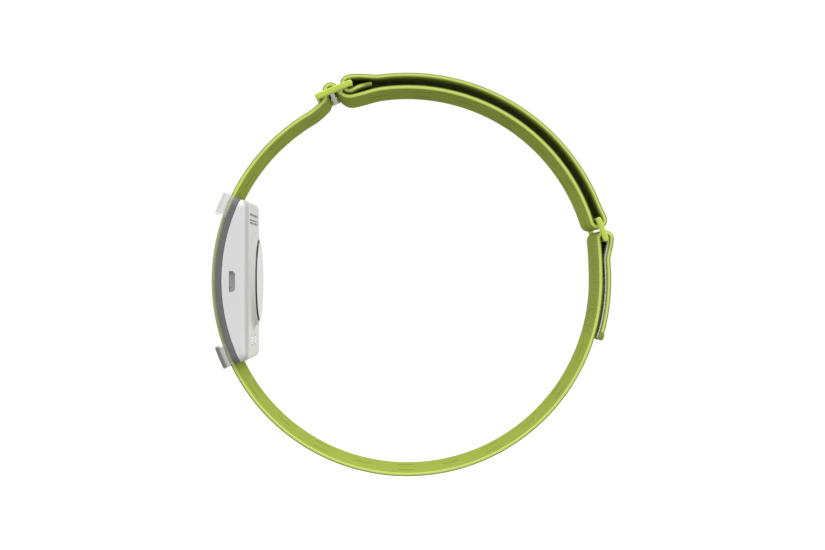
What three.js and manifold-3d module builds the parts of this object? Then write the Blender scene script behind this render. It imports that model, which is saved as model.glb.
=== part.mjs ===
// Sports armband with an optical pulse sensor: an elastic webbing loop, a slide
// adjuster, a webbing ring with a hook-and-loop tail, and a curved sensor pod.
// Millimetres. The loop's axis is Y, +Z is up, and the origin is the loop's centre
// at mid width. The pod is on the -X side and its socket faces -Y.
import * as THREE from 'three';
import { mergeVertices } from 'three/addons/utils/BufferGeometryUtils.js';
import Module from 'manifold-3d';

const wasm = await Module();
wasm.setup();

// Loop and webbing
const loopInnerRadius = 63.8;
const strapWidth = 33;
const strapThickness = 1.5;
const layerGap = 0.4; // between two layers of webbing that lie on each other
const seam = 0.1; // between pieces that are bonded face to face

// Slide adjuster, placed by its right-hand bar
const sliderAngle = 106.4; // degrees round the loop from +X
const sliderTilt = 22.6; // rail against the horizontal
const sliderBarSpacing = 11.1;
const sliderBarRadius = 1.05;
const sliderDip = 0.3; // how far the inner layer is pressed inwards
const centreBarAlong = 6.6; // from the right-hand bar
const centreBarWidth = 1.6;
const centreBarHeight = 1.7;
const railWidth = 2.1;
const railCorner = 0.7;
const railThickness = 2;
const barGap = 0.5; // round the adjuster's outer bars
const centreBarGap = 0.3;
const archRise = 0.5; // the arch over the centre bar stands above the rails' middle line
const sewnTailLength = 12;

// Webbing ring between the strap's two folds
const ringAngle = 17.6; // upper bar
const ringBarSpacing = 6.7;
const ringBarRadius = 0.85;
const ringSideWidth = 1.9;
const upperFoldGap = 0.65;
const lowerFoldGap = 0.55;
const lowerFoldLift = 0.75; // the lower fold stands off the loop's circle
const outerLayerDraw = 0.4; // the outer layer lies this much closer than the fold is wide
const sideGap = 0.5; // from the webbing's edge to a rail or a wall
const hingeGap = 0.3;

// Tail and its hook-and-loop fastening
const tailTop = 5; // degrees, where the tail lies parallel to the strap
const tailEnd = -17.2;
const endCapLength = 2.7;
const endCapThickness = 1.9;
const hookTapeThickness = 0.55;
const loopPatchThickness = 0.3;
const fasteningGap = 0.2;
const fasteningWidth = 32.2;
const loopPatchTop = 1;
const loopPatchEnd = -17.2;

// Sensor pod
const podLength = 55.6; // chord across the cradle's ends
const podWidth = 46;
const podDepth = 10.8; // cradle's outer face to the skin face, at the middle
const podCornerRadius = 4;
const podEdgeRadius = 2.4; // along both sides of the skin face
const podEndRadius = 1.2; // across its ends
const podEndFlare = 0.7; // how much longer the skin face is than radial ends would leave it
const podWall = 1.6;
const strapClearance = 0.4; // cradle to webbing
const cradleThickness = 2;
const sealWidth = 1;
const sealDepth = 0.8;

// Strap bridges over the pod's ends
const bridgeWallLength = 7.4;
const bridgePlateLength = 6.7;
const bridgeHeadroom = 0.8; // webbing to plate
const bridgePlateThickness = 1.6;
const bridgeWallThickness = 2;

// Optical window in its boss
const bossBaseRadius = 15.6;
const bossTopRadius = 14.7;
const bossHeight = 1.7;
const windowRadius = 13.15;
const windowDome = 1.3;
const gasketWidth = 0.6;
const windowLedge = 1;
const windowThickness = 1.3;

// Charging socket
const socketCentre = -0.3; // along Z
const socketFromSkin = 5.2; // its middle plane above the skin face
const socketWidth = 6.85;
const socketHeight = 2;
const socketChamfer = 0.8;
const socketDepth = 5;
const socketShellWall = 0.25;
const socketInset = 0.6;
const tongueWidth = 3.7;
const tongueThickness = 0.6;
const tongueLength = 3.4;

// Charging contacts in the skin face
const padLength = 5;
const padHeight = 2.9;
const padSpacing = 12;
const padProud = 0.3;
const padThickness = 1.1;

// Electronics
const boardThickness = 1;
const boardLength = 40;
const boardWidth = 34;
const boardCornerRadius = 4;
const boardFromSkin = 3.3; // the board's skin-side face
const batteryLength = 22;
const batteryWidth = 26;
const batteryThickness = 2.6;
const batteryShift = 3; // along Y, away from the socket
const chipSize = 5;
const chipThickness = 0.9;
const chipOffset = 16;
const ledSize = 2.8;
const ledThickness = 0.8;
const ledOffset = 6.5;
const photodiodeSize = 4.4;
const photodiodeThickness = 0.9;
const baffleThickness = 1.2;
const airGap = 0.2;

const rad = THREE.MathUtils.degToRad;
const halfThickness = strapThickness / 2;
const midRadius = loopInnerRadius + halfThickness;
const halfStrap = strapWidth / 2;
const origin = new THREE.Vector2(0, 0);

// Degrees that a length takes on the loop's middle line.
const along = (length) => THREE.MathUtils.radToDeg(length / midRadius);
const polar = (radius, degrees, centre = origin) =>
  new THREE.Vector2(
    centre.x + radius * Math.cos(rad(degrees)),
    centre.y + radius * Math.sin(rad(degrees)),
  );

// ---- Solids ----

// Turns a closed geometry into a solid with its faces pointing out.
function solid(geometry) {
  geometry.deleteAttribute('normal');
  geometry.deleteAttribute('uv');
  const merged = mergeVertices(geometry, 1e-5);
  const position = merged.getAttribute('position').array;
  const index = merged.getIndex().array;
  const corner = (i) => new THREE.Vector3().fromArray(position, 3 * index[i]);
  const kept = [];
  let volume = 0;
  for (let i = 0; i < index.length; i += 3) {
    const [a, b, c] = [index[i], index[i + 1], index[i + 2]];
    if (a === b || b === c || c === a) continue;
    kept.push(a, b, c);
    volume += corner(i).dot(corner(i + 1).cross(corner(i + 2)));
  }
  if (volume < 0) kept.reverse();
  return new wasm.Manifold(
    new wasm.Mesh({
      numProp: 3,
      vertProperties: new Float32Array(position),
      triVerts: new Uint32Array(kept),
    }),
  );
}

const unite = (...solids) => solids.reduce((all, next) => all.add(next));

function shapeOf(points) {
  return new THREE.Shape(points);
}

function extrude(shape, depth, basis) {
  const geometry = new THREE.ExtrudeGeometry(shape, { depth, bevelEnabled: false, curveSegments: 6 });
  return geometry.applyMatrix4(basis);
}

const axisX = new THREE.Vector3(1, 0, 0);
const axisY = new THREE.Vector3(0, 1, 0);
const axisZ = new THREE.Vector3(0, 0, 1);

// A side-view outline (x, z) that runs across the width from y0 to y1.
function across(shape, y0, y1) {
  const basis = new THREE.Matrix4().makeBasis(axisX, axisZ, axisY.clone().negate());
  return solid(extrude(shape, y1 - y0, basis).translate(0, y1, 0));
}

// A plan outline (y, z) that runs along X from x0 to x1.
function inward(shape, x0, x1) {
  const basis = new THREE.Matrix4().makeBasis(axisY, axisZ, axisX);
  return solid(extrude(shape, x1 - x0, basis).translate(x0, 0, 0));
}

// An end-view outline (x, y) that runs along Z from z0 to z1.
function upward(shape, z0, z1) {
  return solid(extrude(shape, z1 - z0, new THREE.Matrix4()).translate(0, 0, z0));
}

function box(x0, x1, y0, y1, z0, z1) {
  const geometry = new THREE.BoxGeometry(x1 - x0, y1 - y0, z1 - z0);
  return solid(geometry.translate((x0 + x1) / 2, (y0 + y1) / 2, (z0 + z1) / 2));
}

// A profile of (radius, x) points turned round an axis parallel to X.
function turned(points, segments = 40) {
  const basis = new THREE.Matrix4().makeBasis(axisZ, axisX, axisY);
  return solid(new THREE.LatheGeometry(points, segments).applyMatrix4(basis));
}

// A round bar across the width at a point of the side view.
function bar(at, radius, halfLength) {
  const shape = new THREE.Shape().absarc(at.x, at.y, radius, 0, 2 * Math.PI);
  const geometry = new THREE.ExtrudeGeometry(shape, { depth: 1, bevelEnabled: false, curveSegments: 10 });
  const basis = new THREE.Matrix4().makeBasis(axisX, axisZ, axisY.clone().negate());
  return solid(geometry.applyMatrix4(basis).translate(0, 0.5, 0).scale(1, 2 * halfLength, 1));
}

function roundedRectangle(width, height, radius, centreX = 0, centreY = 0) {
  const [w, h] = [width / 2, height / 2];
  const shape = new THREE.Shape();
  shape.absarc(centreX + w - radius, centreY + h - radius, radius, 0, Math.PI / 2);
  shape.absarc(centreX - w + radius, centreY + h - radius, radius, Math.PI / 2, Math.PI);
  shape.absarc(centreX - w + radius, centreY - h + radius, radius, Math.PI, 1.5 * Math.PI);
  shape.absarc(centreX + w - radius, centreY - h + radius, radius, 1.5 * Math.PI, 2 * Math.PI);
  return shape;
}

// A bar with round ends between two points of the side view.
function stadium(from, to, width) {
  const angle = Math.atan2(to.y - from.y, to.x - from.x);
  const shape = new THREE.Shape();
  shape.absarc(to.x, to.y, width / 2, angle - Math.PI / 2, angle + Math.PI / 2);
  shape.absarc(from.x, from.y, width / 2, angle + Math.PI / 2, angle + 1.5 * Math.PI);
  return shape;
}

// Part of a ring between two radii and two angles, in the side view.
function band(inner, outer, from, to, step = 4) {
  const steps = Math.max(1, Math.ceil(Math.abs(to - from) / step));
  const angles = Array.from({ length: steps + 1 }, (_, i) => from + ((to - from) * i) / steps);
  const outside = angles.map((a) => polar(outer, a));
  const inside = angles.map((a) => polar(inner, a)).reverse();
  return shapeOf([...outside, ...inside]);
}

// ---- Webbing routes, as arcs that smooth curves join ----

const arc = (centre, radius, from, to) => ({ centre, radius, from, to });

function arcEnd(piece, degrees) {
  const turn = Math.sign(piece.to - piece.from);
  const point = polar(piece.radius, degrees, piece.centre);
  const direction = polar(turn, degrees + 90);
  return { point, direction };
}

function sampleArc(piece) {
  const span = Math.abs(piece.to - piece.from);
  const step = piece.radius > 10 ? 4 : 15;
  const steps = Math.max(1, Math.ceil(span / step));
  return Array.from({ length: steps + 1 }, (_, i) =>
    polar(piece.radius, piece.from + ((piece.to - piece.from) * i) / steps, piece.centre),
  );
}

function joinEnds(a, b) {
  const reach = 0.36 * a.point.distanceTo(b.point);
  const curve = new THREE.CubicBezierCurve(
    a.point,
    a.point.clone().addScaledVector(a.direction, reach),
    b.point.clone().addScaledVector(b.direction, -reach),
    b.point,
  );
  const steps = Math.max(3, Math.ceil(a.point.distanceTo(b.point) / 2.5));
  return curve.getPoints(steps).slice(1, -1);
}

function route(pieces) {
  const points = [];
  pieces.forEach((piece, i) => {
    if (i > 0) {
      const last = pieces[i - 1];
      points.push(...joinEnds(arcEnd(last, last.to), arcEnd(piece, piece.from)));
    }
    points.push(...sampleArc(piece));
  });
  return points;
}

// The outline of webbing of a given thickness along a route; its start may be round.
function ribbon(points, thickness, roundStart = false) {
  const half = thickness / 2;
  const normals = points.map((point, i) => {
    const before = points[Math.max(i - 1, 0)];
    const after = points[Math.min(i + 1, points.length - 1)];
    const direction = after.clone().sub(before).normalize();
    return new THREE.Vector2(-direction.y, direction.x);
  });
  const left = points.map((point, i) => point.clone().addScaledVector(normals[i], half));
  const right = points.map((point, i) => point.clone().addScaledVector(normals[i], -half));
  const start = [];
  if (roundStart) {
    const angle = THREE.MathUtils.radToDeg(normals[0].angle());
    for (let turn = 150; turn > 0; turn -= 30) {
      start.push(polar(half, angle + turn, points[0]));
    }
  }
  return shapeOf([...left, ...right.reverse(), ...start]);
}

// ---- Places that several pieces share ----

const wrapRadius = sliderBarRadius + barGap + halfThickness;
const underRadius = wrapRadius + strapThickness + layerGap;
const archRadius = centreBarWidth / 2 + centreBarGap + halfThickness;
const upperFold = ringBarRadius + upperFoldGap + halfThickness;
const lowerFold = ringBarRadius + lowerFoldGap + halfThickness;

const rightBar = polar(midRadius + underRadius - sliderDip, sliderAngle);
const railDirection = polar(1, sliderTilt + 180);
const railNormal = polar(1, sliderTilt + 90);
const leftBar = rightBar.clone().addScaledVector(railDirection, sliderBarSpacing);
const centreBar = rightBar.clone().addScaledVector(railDirection, centreBarAlong);
const arch = centreBar.clone().addScaledVector(railNormal, archRise);

const outerLayerRadius = midRadius + 2 * upperFold - outerLayerDraw;
const sewnTailRadius = outerLayerRadius - strapThickness - layerGap;
const ringUpperBar = polar(midRadius + upperFold, ringAngle);
const lowerBarAngle = ringAngle - along(ringBarSpacing - 0.3);
const ringLowerBar = polar(midRadius + lowerFold + lowerFoldLift, lowerBarAngle);
const tailHinge = polar(lowerFold, 0, ringLowerBar);

const patchInner = loopInnerRadius + strapThickness + seam;
const tapeInner = patchInner + loopPatchThickness + fasteningGap;
const tailInner = tapeInner + hookTapeThickness + seam;
const tailRadius = tailInner + halfThickness;
const endCapSpan = along(endCapLength);

const cradleOuter = loopInnerRadius - strapClearance;
const cradleInner = cradleOuter - cradleThickness;
const housingOuter = cradleInner - seam;
const skinX = -(cradleOuter - podDepth);
const podHalfAngle = THREE.MathUtils.radToDeg(Math.asin(podLength / 2 / cradleOuter));
const podEnd = podLength / 2;

// ---- Webbing ----

function mainStrap() {
  const foldAngle = 180 + sliderTilt;
  const freeAngle = THREE.MathUtils.radToDeg((halfThickness + hingeGap) / lowerFold);
  const sewnStart = sliderAngle - along(sewnTailLength - 4);
  const points = route([
    arc(origin, sewnTailRadius, sewnStart + along(1), sewnStart + along(3.5)),
    arc(rightBar, wrapRadius, -60, -255),
    arc(origin, outerLayerRadius, sliderAngle - along(10.5), ringAngle + along(4)),
    arc(ringUpperBar, upperFold, ringAngle, ringAngle - 180),
    arc(origin, midRadius, ringAngle + along(3), sliderAngle - along(10.5)),
    arc(rightBar, underRadius, -80, -130),
    arc(arch, archRadius, foldAngle - 162, 180),
    arc(leftBar, wrapRadius, 5, -45),
    arc(origin, midRadius, sliderAngle + along(16.5), 361),
    arc(ringLowerBar, lowerFold, 186, freeAngle),
  ]);
  return across(ribbon(points, strapThickness), -halfStrap, halfStrap);
}

// A line beside the tail's middle line, from the hinge to short of the end cap.
function tailRoute(inside, shortOfCap) {
  const start = tailHinge.clone().sub(new THREE.Vector2(inside, 0));
  const rest = arc(origin, tailRadius - inside, tailTop, tailEnd + endCapSpan + along(shortOfCap));
  const down = { point: start, direction: new THREE.Vector2(0, -1) };
  return [start, ...joinEnds(down, arcEnd(rest, tailTop)), ...sampleArc(rest)];
}

function strapTail() {
  return across(ribbon(tailRoute(0, seam), strapThickness, true), -halfStrap, halfStrap);
}

function tailEndCap() {
  const half = endCapThickness / 2;
  const shape = band(tailRadius - half, tailRadius + half, tailEnd, tailEnd + endCapSpan, 2);
  return across(shape, -halfStrap, halfStrap);
}

function hookTape() {
  const inside = halfThickness + seam + hookTapeThickness / 2;
  const points = tailRoute(inside, 0.6).slice(1);
  return across(ribbon(points, hookTapeThickness), -fasteningWidth / 2, fasteningWidth / 2);
}

function loopPatch() {
  const shape = band(patchInner, patchInner + loopPatchThickness, loopPatchEnd, loopPatchTop);
  return across(shape, -fasteningWidth / 2, fasteningWidth / 2);
}

// ---- Adjuster and ring ----

const railInner = halfStrap + sideGap;
const railOuter = railInner + railThickness;

function railPair(shape) {
  return [across(shape, -railOuter, -railInner), across(shape, railInner, railOuter)];
}

// A rectangle with round corners, centred on a point of the side view and tilted as the rails are.
function tiltedBlock(centre, length, height, radius) {
  const points = roundedRectangle(length, height, radius).getPoints(3);
  return shapeOf(points.map((point) => point.rotateAround(origin, rad(sliderTilt)).add(centre)));
}

function sliderFrame() {
  const middle = leftBar.clone().add(rightBar).multiplyScalar(0.5);
  return unite(
    ...railPair(tiltedBlock(middle, sliderBarSpacing + railWidth, railWidth, railCorner)),
    bar(leftBar, sliderBarRadius, railInner + railThickness / 2),
    bar(rightBar, sliderBarRadius, railInner + railThickness / 2),
  );
}

// A flat bar between the rails, level with their lower edges.
function sliderCentreBar() {
  const drop = (railWidth - centreBarHeight) / 2 - seam / 2;
  const centre = centreBar.clone().addScaledVector(railNormal, -drop);
  const shape = tiltedBlock(centre, centreBarWidth, centreBarHeight, 0.25);
  return across(shape, -railInner + seam, railInner - seam);
}

function adjustRing() {
  return unite(
    ...railPair(stadium(ringUpperBar, ringLowerBar, ringSideWidth)),
    bar(ringUpperBar, ringBarRadius, railInner + railThickness / 2),
    bar(ringLowerBar, ringBarRadius, railInner + railThickness / 2),
  );
}

// ---- Pod casing ----

// Side view of the pod body: a curved outer face, radial ends and a flat skin face.
function podSection(outerRadius, inset, skinInset) {
  const endAngle = podHalfAngle - THREE.MathUtils.radToDeg(inset / cradleOuter);
  const face = skinX - skinInset;
  const corner = Math.max(podEndRadius - inset, 0.2);
  const foot = polar(outerRadius, 180 - endAngle);
  const head = new THREE.Vector2(face, -face * Math.tan(rad(endAngle)) + podEndFlare);
  const shoulder = head.clone().lerp(foot, corner / head.distanceTo(foot));
  const shape = new THREE.Shape();
  shape.absarc(0, 0, outerRadius, Math.PI - rad(endAngle), Math.PI + rad(endAngle));
  shape.lineTo(shoulder.x, -shoulder.y);
  shape.quadraticCurveTo(face, -head.y, face, corner - head.y);
  shape.lineTo(face, head.y - corner);
  shape.quadraticCurveTo(face, head.y, shoulder.x, shoulder.y);
  return shape;
}

function podPlan(inset) {
  const radius = podCornerRadius - inset;
  return roundedRectangle(podWidth - 2 * inset, 2 * podEnd + 1 - 2 * inset, radius);
}

// End view of the pod body: round edges along both sides of the skin face.
function podEdges() {
  const [half, edge] = [podWidth / 2, podEdgeRadius];
  const shape = new THREE.Shape();
  shape.moveTo(-cradleOuter - 1, -half);
  shape.lineTo(skinX - edge, -half);
  shape.absarc(skinX - edge, -half + edge, edge, -Math.PI / 2, 0);
  shape.absarc(skinX - edge, half - edge, edge, 0, Math.PI / 2);
  shape.lineTo(-cradleOuter - 1, half);
  return shape;
}

function podBlock(outerRadius, inset, skinInset) {
  const section = across(podSection(outerRadius, inset, skinInset), -podWidth, podWidth);
  return section.intersect(inward(podPlan(inset), -cradleOuter - 5, skinX + 5));
}

// Socket outline in the side view: two chamfered corners towards the skin.
function socketOutline(grow) {
  const x = skinX - socketFromSkin;
  const half = socketWidth / 2 + grow;
  const [outer, inner] = [x - socketHeight / 2 - grow, x + socketHeight / 2 + grow];
  return shapeOf([
    new THREE.Vector2(outer, socketCentre - half),
    new THREE.Vector2(inner - socketChamfer, socketCentre - half),
    new THREE.Vector2(inner, socketCentre - half + socketChamfer),
    new THREE.Vector2(inner, socketCentre + half - socketChamfer),
    new THREE.Vector2(inner - socketChamfer, socketCentre + half),
    new THREE.Vector2(outer, socketCentre + half),
  ]);
}

// The pads sit midway between the boss and the lower end of the skin face.
const skinEnd = -skinX * Math.tan(rad(podHalfAngle)) + podEndFlare - podEndRadius;
const padZ = -(bossBaseRadius + skinEnd) / 2;
const padSides = [-1, 1];
const ledgeX = skinX - windowLedge + 0.4;

function padBlock(side, grow) {
  const y = (side * padSpacing) / 2;
  const [halfLength, halfHeight] = [padLength / 2 + grow, padHeight / 2 + grow];
  return box(
    skinX + padProud - padThickness - grow,
    skinX + padProud,
    y - halfLength,
    y + halfLength,
    padZ - halfHeight,
    padZ + halfHeight,
  );
}

function sensorHousing() {
  const edges = upward(podEdges(), -podLength, podLength);
  const shell = podBlock(housingOuter, 0, 0).intersect(edges);
  const hollow = podBlock(housingOuter + 1, podWall, podWall);
  const boss = turned([
    new THREE.Vector2(0, skinX - 0.5),
    new THREE.Vector2(bossBaseRadius, skinX - 0.5),
    new THREE.Vector2(bossBaseRadius, skinX),
    new THREE.Vector2(bossTopRadius, skinX + bossHeight),
    new THREE.Vector2(0, skinX + bossHeight),
  ]);
  const gasketBore = windowRadius + gasketWidth + 2 * seam;
  const bore = turned([
    new THREE.Vector2(0, skinX - podWall - 1),
    new THREE.Vector2(windowRadius - windowLedge, skinX - podWall - 1),
    new THREE.Vector2(windowRadius - windowLedge, ledgeX),
    new THREE.Vector2(gasketBore, ledgeX),
    new THREE.Vector2(gasketBore, skinX + bossHeight + 1),
    new THREE.Vector2(0, skinX + bossHeight + 1),
  ]);
  const holeEnd = -podWidth / 2 + podWall + 1;
  const socketHole = across(socketOutline(socketShellWall + airGap), -podWidth, holeEnd);
  const pads = unite(...padSides.map((side) => padBlock(side, seam)));
  return shell.subtract(hollow).add(boss).subtract(bore).subtract(socketHole).subtract(pads);
}

function backCradle() {
  const block = across(
    band(cradleInner, cradleOuter, 180 - podHalfAngle, 180 + podHalfAngle),
    -podWidth,
    podWidth,
  );
  return block.intersect(inward(podPlan(0), -cradleOuter - 1, skinX));
}

function housingSeal() {
  const outer = podWall + airGap;
  const inner = outer + sealWidth;
  const ring = podBlock(housingOuter, outer, podWall).subtract(podBlock(housingOuter + 1, inner, podWall));
  const shape = band(housingOuter - sealDepth, housingOuter + 1, 150, 210);
  return ring.intersect(across(shape, -podWidth, podWidth));
}

// A bridge stands on the cradle at one end of the pod, and the webbing runs under it.
function strapBridge(side) {
  const plateInner = loopInnerRadius + strapThickness + bridgeHeadroom;
  const plateOuter = plateInner + bridgePlateThickness;
  const end = podHalfAngle - 0.2;
  const degrees = (length) => THREE.MathUtils.radToDeg(length / cradleOuter);
  const angles = (length) => [180 - side * (end - degrees(length)), 180 - side * end];
  const wallShape = band(cradleOuter + seam, plateOuter, ...angles(bridgeWallLength));
  const plateShape = band(plateInner, plateOuter, ...angles(bridgePlateLength));
  const outer = railInner + bridgeWallThickness;
  return unite(
    across(wallShape, -outer, -railInner),
    across(wallShape, railInner, outer),
    across(plateShape, -outer, outer),
  );
}

// ---- Optics ----

function opticalWindow() {
  const rim = skinX + bossHeight - 0.1;
  const sphere = (windowRadius ** 2 + windowDome ** 2) / (2 * windowDome);
  const points = [new THREE.Vector2(0, ledgeX + seam), new THREE.Vector2(windowRadius, ledgeX + seam)];
  const steps = 6;
  for (let i = 0; i <= steps; i += 1) {
    const radius = windowRadius * (1 - i / steps);
    const rise = Math.sqrt(sphere ** 2 - radius ** 2) - (sphere - windowDome);
    points.push(new THREE.Vector2(radius, rim + rise));
  }
  const recess = turned([
    new THREE.Vector2(0, ledgeX - 1),
    new THREE.Vector2(windowRadius - 2 * windowLedge, ledgeX - 1),
    new THREE.Vector2(windowRadius - 2 * windowLedge, rim - windowThickness),
    new THREE.Vector2(0, rim - windowThickness),
  ]);
  return turned(points).subtract(recess);
}

function windowGasket() {
  const [inner, outer] = [windowRadius + seam, windowRadius + seam + gasketWidth];
  return turned([
    new THREE.Vector2(inner, ledgeX + seam),
    new THREE.Vector2(outer, ledgeX + seam),
    new THREE.Vector2(outer, skinX + bossHeight + 0.1),
    new THREE.Vector2(inner, skinX + bossHeight + 0.1),
    new THREE.Vector2(inner, ledgeX + seam),
  ]);
}

const boardFace = skinX - boardFromSkin;
const boardBack = boardFace - boardThickness;

function lightBaffle() {
  const radius = windowRadius - windowLedge - airGap;
  const disc = turned([
    new THREE.Vector2(0, boardFace + airGap),
    new THREE.Vector2(radius, boardFace + airGap),
    new THREE.Vector2(radius, boardFace + airGap + baffleThickness),
    new THREE.Vector2(0, boardFace + airGap + baffleThickness),
  ]);
  const hole = (z, size) => {
    const half = size / 2 + airGap;
    return box(boardFace - 1, boardFace + 4, -half, half, z - half, z + half);
  };
  return disc
    .subtract(hole(0, photodiodeSize))
    .subtract(hole(ledOffset, ledSize))
    .subtract(hole(-ledOffset, ledSize));
}

function onBoard(z, size, thickness) {
  const x = boardFace + seam;
  return box(x, x + thickness, -size / 2, size / 2, z - size / 2, z + size / 2);
}

// ---- Electronics ----

function sensorBoard() {
  return inward(roundedRectangle(boardWidth, boardLength, boardCornerRadius), boardBack, boardFace);
}

function battery() {
  const shape = roundedRectangle(batteryWidth, batteryLength, 1.5, batteryShift, 0);
  return inward(shape, boardBack - airGap - batteryThickness, boardBack - airGap);
}

function chip(z) {
  const x = boardBack - seam;
  return box(x - chipThickness, x, -chipSize / 2, chipSize / 2, z - chipSize / 2, z + chipSize / 2);
}

const socketMouth = -podWidth / 2 + socketInset;
const socketBack = socketMouth + socketDepth;

function socketShell() {
  const outer = across(socketOutline(socketShellWall), socketMouth, socketBack);
  return outer.subtract(across(socketOutline(0), socketMouth - 1, socketBack - socketShellWall));
}

function socketTongue() {
  const x = skinX - socketFromSkin - 0.25;
  const end = socketBack - socketShellWall - seam;
  const half = tongueWidth / 2;
  return box(x - tongueThickness, x, end - tongueLength, end, socketCentre - half, socketCentre + half);
}

// ---- Assembly ----

const finishes = {
  webbing: { color: '#a9ba55', roughness: 0.85, metalness: 0 },
  capGreen: { color: '#6d7d2e', roughness: 0.7, metalness: 0 },
  hook: { color: '#d8d6cb', roughness: 0.8, metalness: 0 },
  loop: { color: '#5f6b26', roughness: 0.95, metalness: 0 },
  greenHardware: { color: '#b5c35e', roughness: 0.45, metalness: 0 },
  steel: { color: '#c4c6c8', roughness: 0.3, metalness: 1 },
  cradle: { color: '#696969', roughness: 0.55, metalness: 0 },
  housing: { color: '#dcdcdc', roughness: 0.4, metalness: 0 },
  clear: { color: '#eef2ee', roughness: 0.08, metalness: 0 },
  window: { color: '#e4e4e4', roughness: 0.15, metalness: 0 },
  gasket: { color: '#575855', roughness: 0.8, metalness: 0 },
  black: { color: '#1c1c1e', roughness: 0.7, metalness: 0 },
  board: { color: '#1f5b3a', roughness: 0.5, metalness: 0 },
  battery: { color: '#b8bcc2', roughness: 0.35, metalness: 0.6 },
  led: { color: '#f4f2c8', roughness: 0.2, metalness: 0 },
};

const armband = new THREE.Group();

function place(name, manifold, finish) {
  const { vertProperties, triVerts } = manifold.getMesh();
  const geometry = new THREE.BufferGeometry();
  geometry.setAttribute('position', new THREE.BufferAttribute(new Float32Array(vertProperties), 3));
  geometry.setIndex(new THREE.BufferAttribute(new Uint32Array(triVerts), 1));
  geometry.computeVertexNormals();
  const piece = new THREE.Mesh(geometry, new THREE.MeshStandardMaterial(finishes[finish]));
  piece.name = name;
  armband.add(piece);
}

place('main_strap', mainStrap(), 'webbing');
place('strap_tail', strapTail(), 'webbing');
place('tail_end_cap', tailEndCap(), 'capGreen');
place('hook_tape', hookTape(), 'hook');
place('loop_patch', loopPatch(), 'loop');
place('slider_frame', sliderFrame(), 'greenHardware');
place('slider_center_bar', sliderCentreBar(), 'steel');
place('webbing_ring', adjustRing(), 'greenHardware');
place('back_cradle', backCradle(), 'cradle');
place('sensor_housing', sensorHousing(), 'housing');
place('housing_seal', housingSeal(), 'gasket');
place('strap_bridge_upper', strapBridge(1), 'clear');
place('strap_bridge_lower', strapBridge(-1), 'clear');
place('optical_window', opticalWindow(), 'window');
place('window_gasket', windowGasket(), 'gasket');
place('light_baffle', lightBaffle(), 'black');
place('photodiode', onBoard(0, photodiodeSize, photodiodeThickness), 'black');
place('led_upper', onBoard(ledOffset, ledSize, ledThickness), 'led');
place('led_lower', onBoard(-ledOffset, ledSize, ledThickness), 'led');
place('sensor_board', sensorBoard(), 'board');
place('battery_cell', battery(), 'battery');
place('radio_chip', chip(chipOffset), 'black');
place('charging_chip', chip(-chipOffset), 'black');
place('socket_shell', socketShell(), 'steel');
place('socket_tongue', socketTongue(), 'black');
place('contact_pad_front', padBlock(-1, 0), 'steel');
place('contact_pad_back', padBlock(1, 0), 'steel');

export default armband;
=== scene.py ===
import math
import random

import bpy
import bmesh
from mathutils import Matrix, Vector


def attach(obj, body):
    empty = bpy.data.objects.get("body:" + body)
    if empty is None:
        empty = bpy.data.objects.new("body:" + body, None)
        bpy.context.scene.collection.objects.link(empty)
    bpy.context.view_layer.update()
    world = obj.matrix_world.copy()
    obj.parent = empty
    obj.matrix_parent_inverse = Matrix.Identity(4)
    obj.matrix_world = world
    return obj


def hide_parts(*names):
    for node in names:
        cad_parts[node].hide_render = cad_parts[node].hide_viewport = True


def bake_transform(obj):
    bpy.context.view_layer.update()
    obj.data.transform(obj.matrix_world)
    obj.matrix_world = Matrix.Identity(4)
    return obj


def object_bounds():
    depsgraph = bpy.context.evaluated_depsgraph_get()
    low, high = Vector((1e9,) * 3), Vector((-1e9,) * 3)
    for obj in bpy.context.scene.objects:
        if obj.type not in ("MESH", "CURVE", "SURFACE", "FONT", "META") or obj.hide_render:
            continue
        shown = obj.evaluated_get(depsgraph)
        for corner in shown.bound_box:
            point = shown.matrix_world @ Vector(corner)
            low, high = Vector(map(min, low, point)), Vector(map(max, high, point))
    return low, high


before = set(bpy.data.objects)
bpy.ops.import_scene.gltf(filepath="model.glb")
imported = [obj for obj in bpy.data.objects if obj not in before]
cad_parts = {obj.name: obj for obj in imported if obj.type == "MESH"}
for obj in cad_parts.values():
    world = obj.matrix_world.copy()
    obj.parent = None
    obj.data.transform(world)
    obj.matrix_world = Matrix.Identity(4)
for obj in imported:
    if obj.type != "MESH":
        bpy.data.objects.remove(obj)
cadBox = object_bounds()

# A sports armband: webbing loop, slide adjuster, webbing ring, hook-and-loop tail and sensor pod.
# Lengths in the dictionaries are millimetres, and meshes are made in metres.
mm = 0.001
random.seed(7)


def newObject(name, mesh):
    piece = bpy.data.objects.new(name, mesh)
    bpy.context.scene.collection.objects.link(piece)
    return piece


def resharpen(mesh, sharpAngle=35):
    mesh.shade_smooth()
    mesh.set_sharp_from_angle(angle=math.radians(sharpAngle))


def makeMesh(name, points, faces, sharpAngle=35, edges=()):
    mesh = bpy.data.meshes.new(name)
    mesh.from_pydata([(x * mm, y * mm, z * mm) for x, y, z in points], edges, faces)
    resharpen(mesh, sharpAngle)
    return newObject(name, mesh)


def editMesh(mesh, change):
    work = bmesh.new()
    work.from_mesh(mesh)
    change(work)
    work.to_mesh(mesh)
    work.free()


def outwards(piece):
    # one welded skin with its faces pointing out
    def weld(work):
        bmesh.ops.remove_doubles(work, verts=work.verts, dist=1e-7)
        bmesh.ops.recalc_face_normals(work, faces=work.faces)

    editMesh(piece.data, weld)
    return piece


def addModifier(piece, kind, settings):
    modifier = piece.modifiers.new(kind.title(), kind)
    for key, value in settings.items():
        setattr(modifier, key, value)


def bakeModifiers(piece, sharpAngle=35):
    bpy.context.view_layer.update()
    evaluated = piece.evaluated_get(bpy.context.evaluated_depsgraph_get())
    mesh = bpy.data.meshes.new_from_object(evaluated)
    piece.modifiers.clear()
    piece.data = mesh
    resharpen(mesh, sharpAngle)
    return piece


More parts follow.
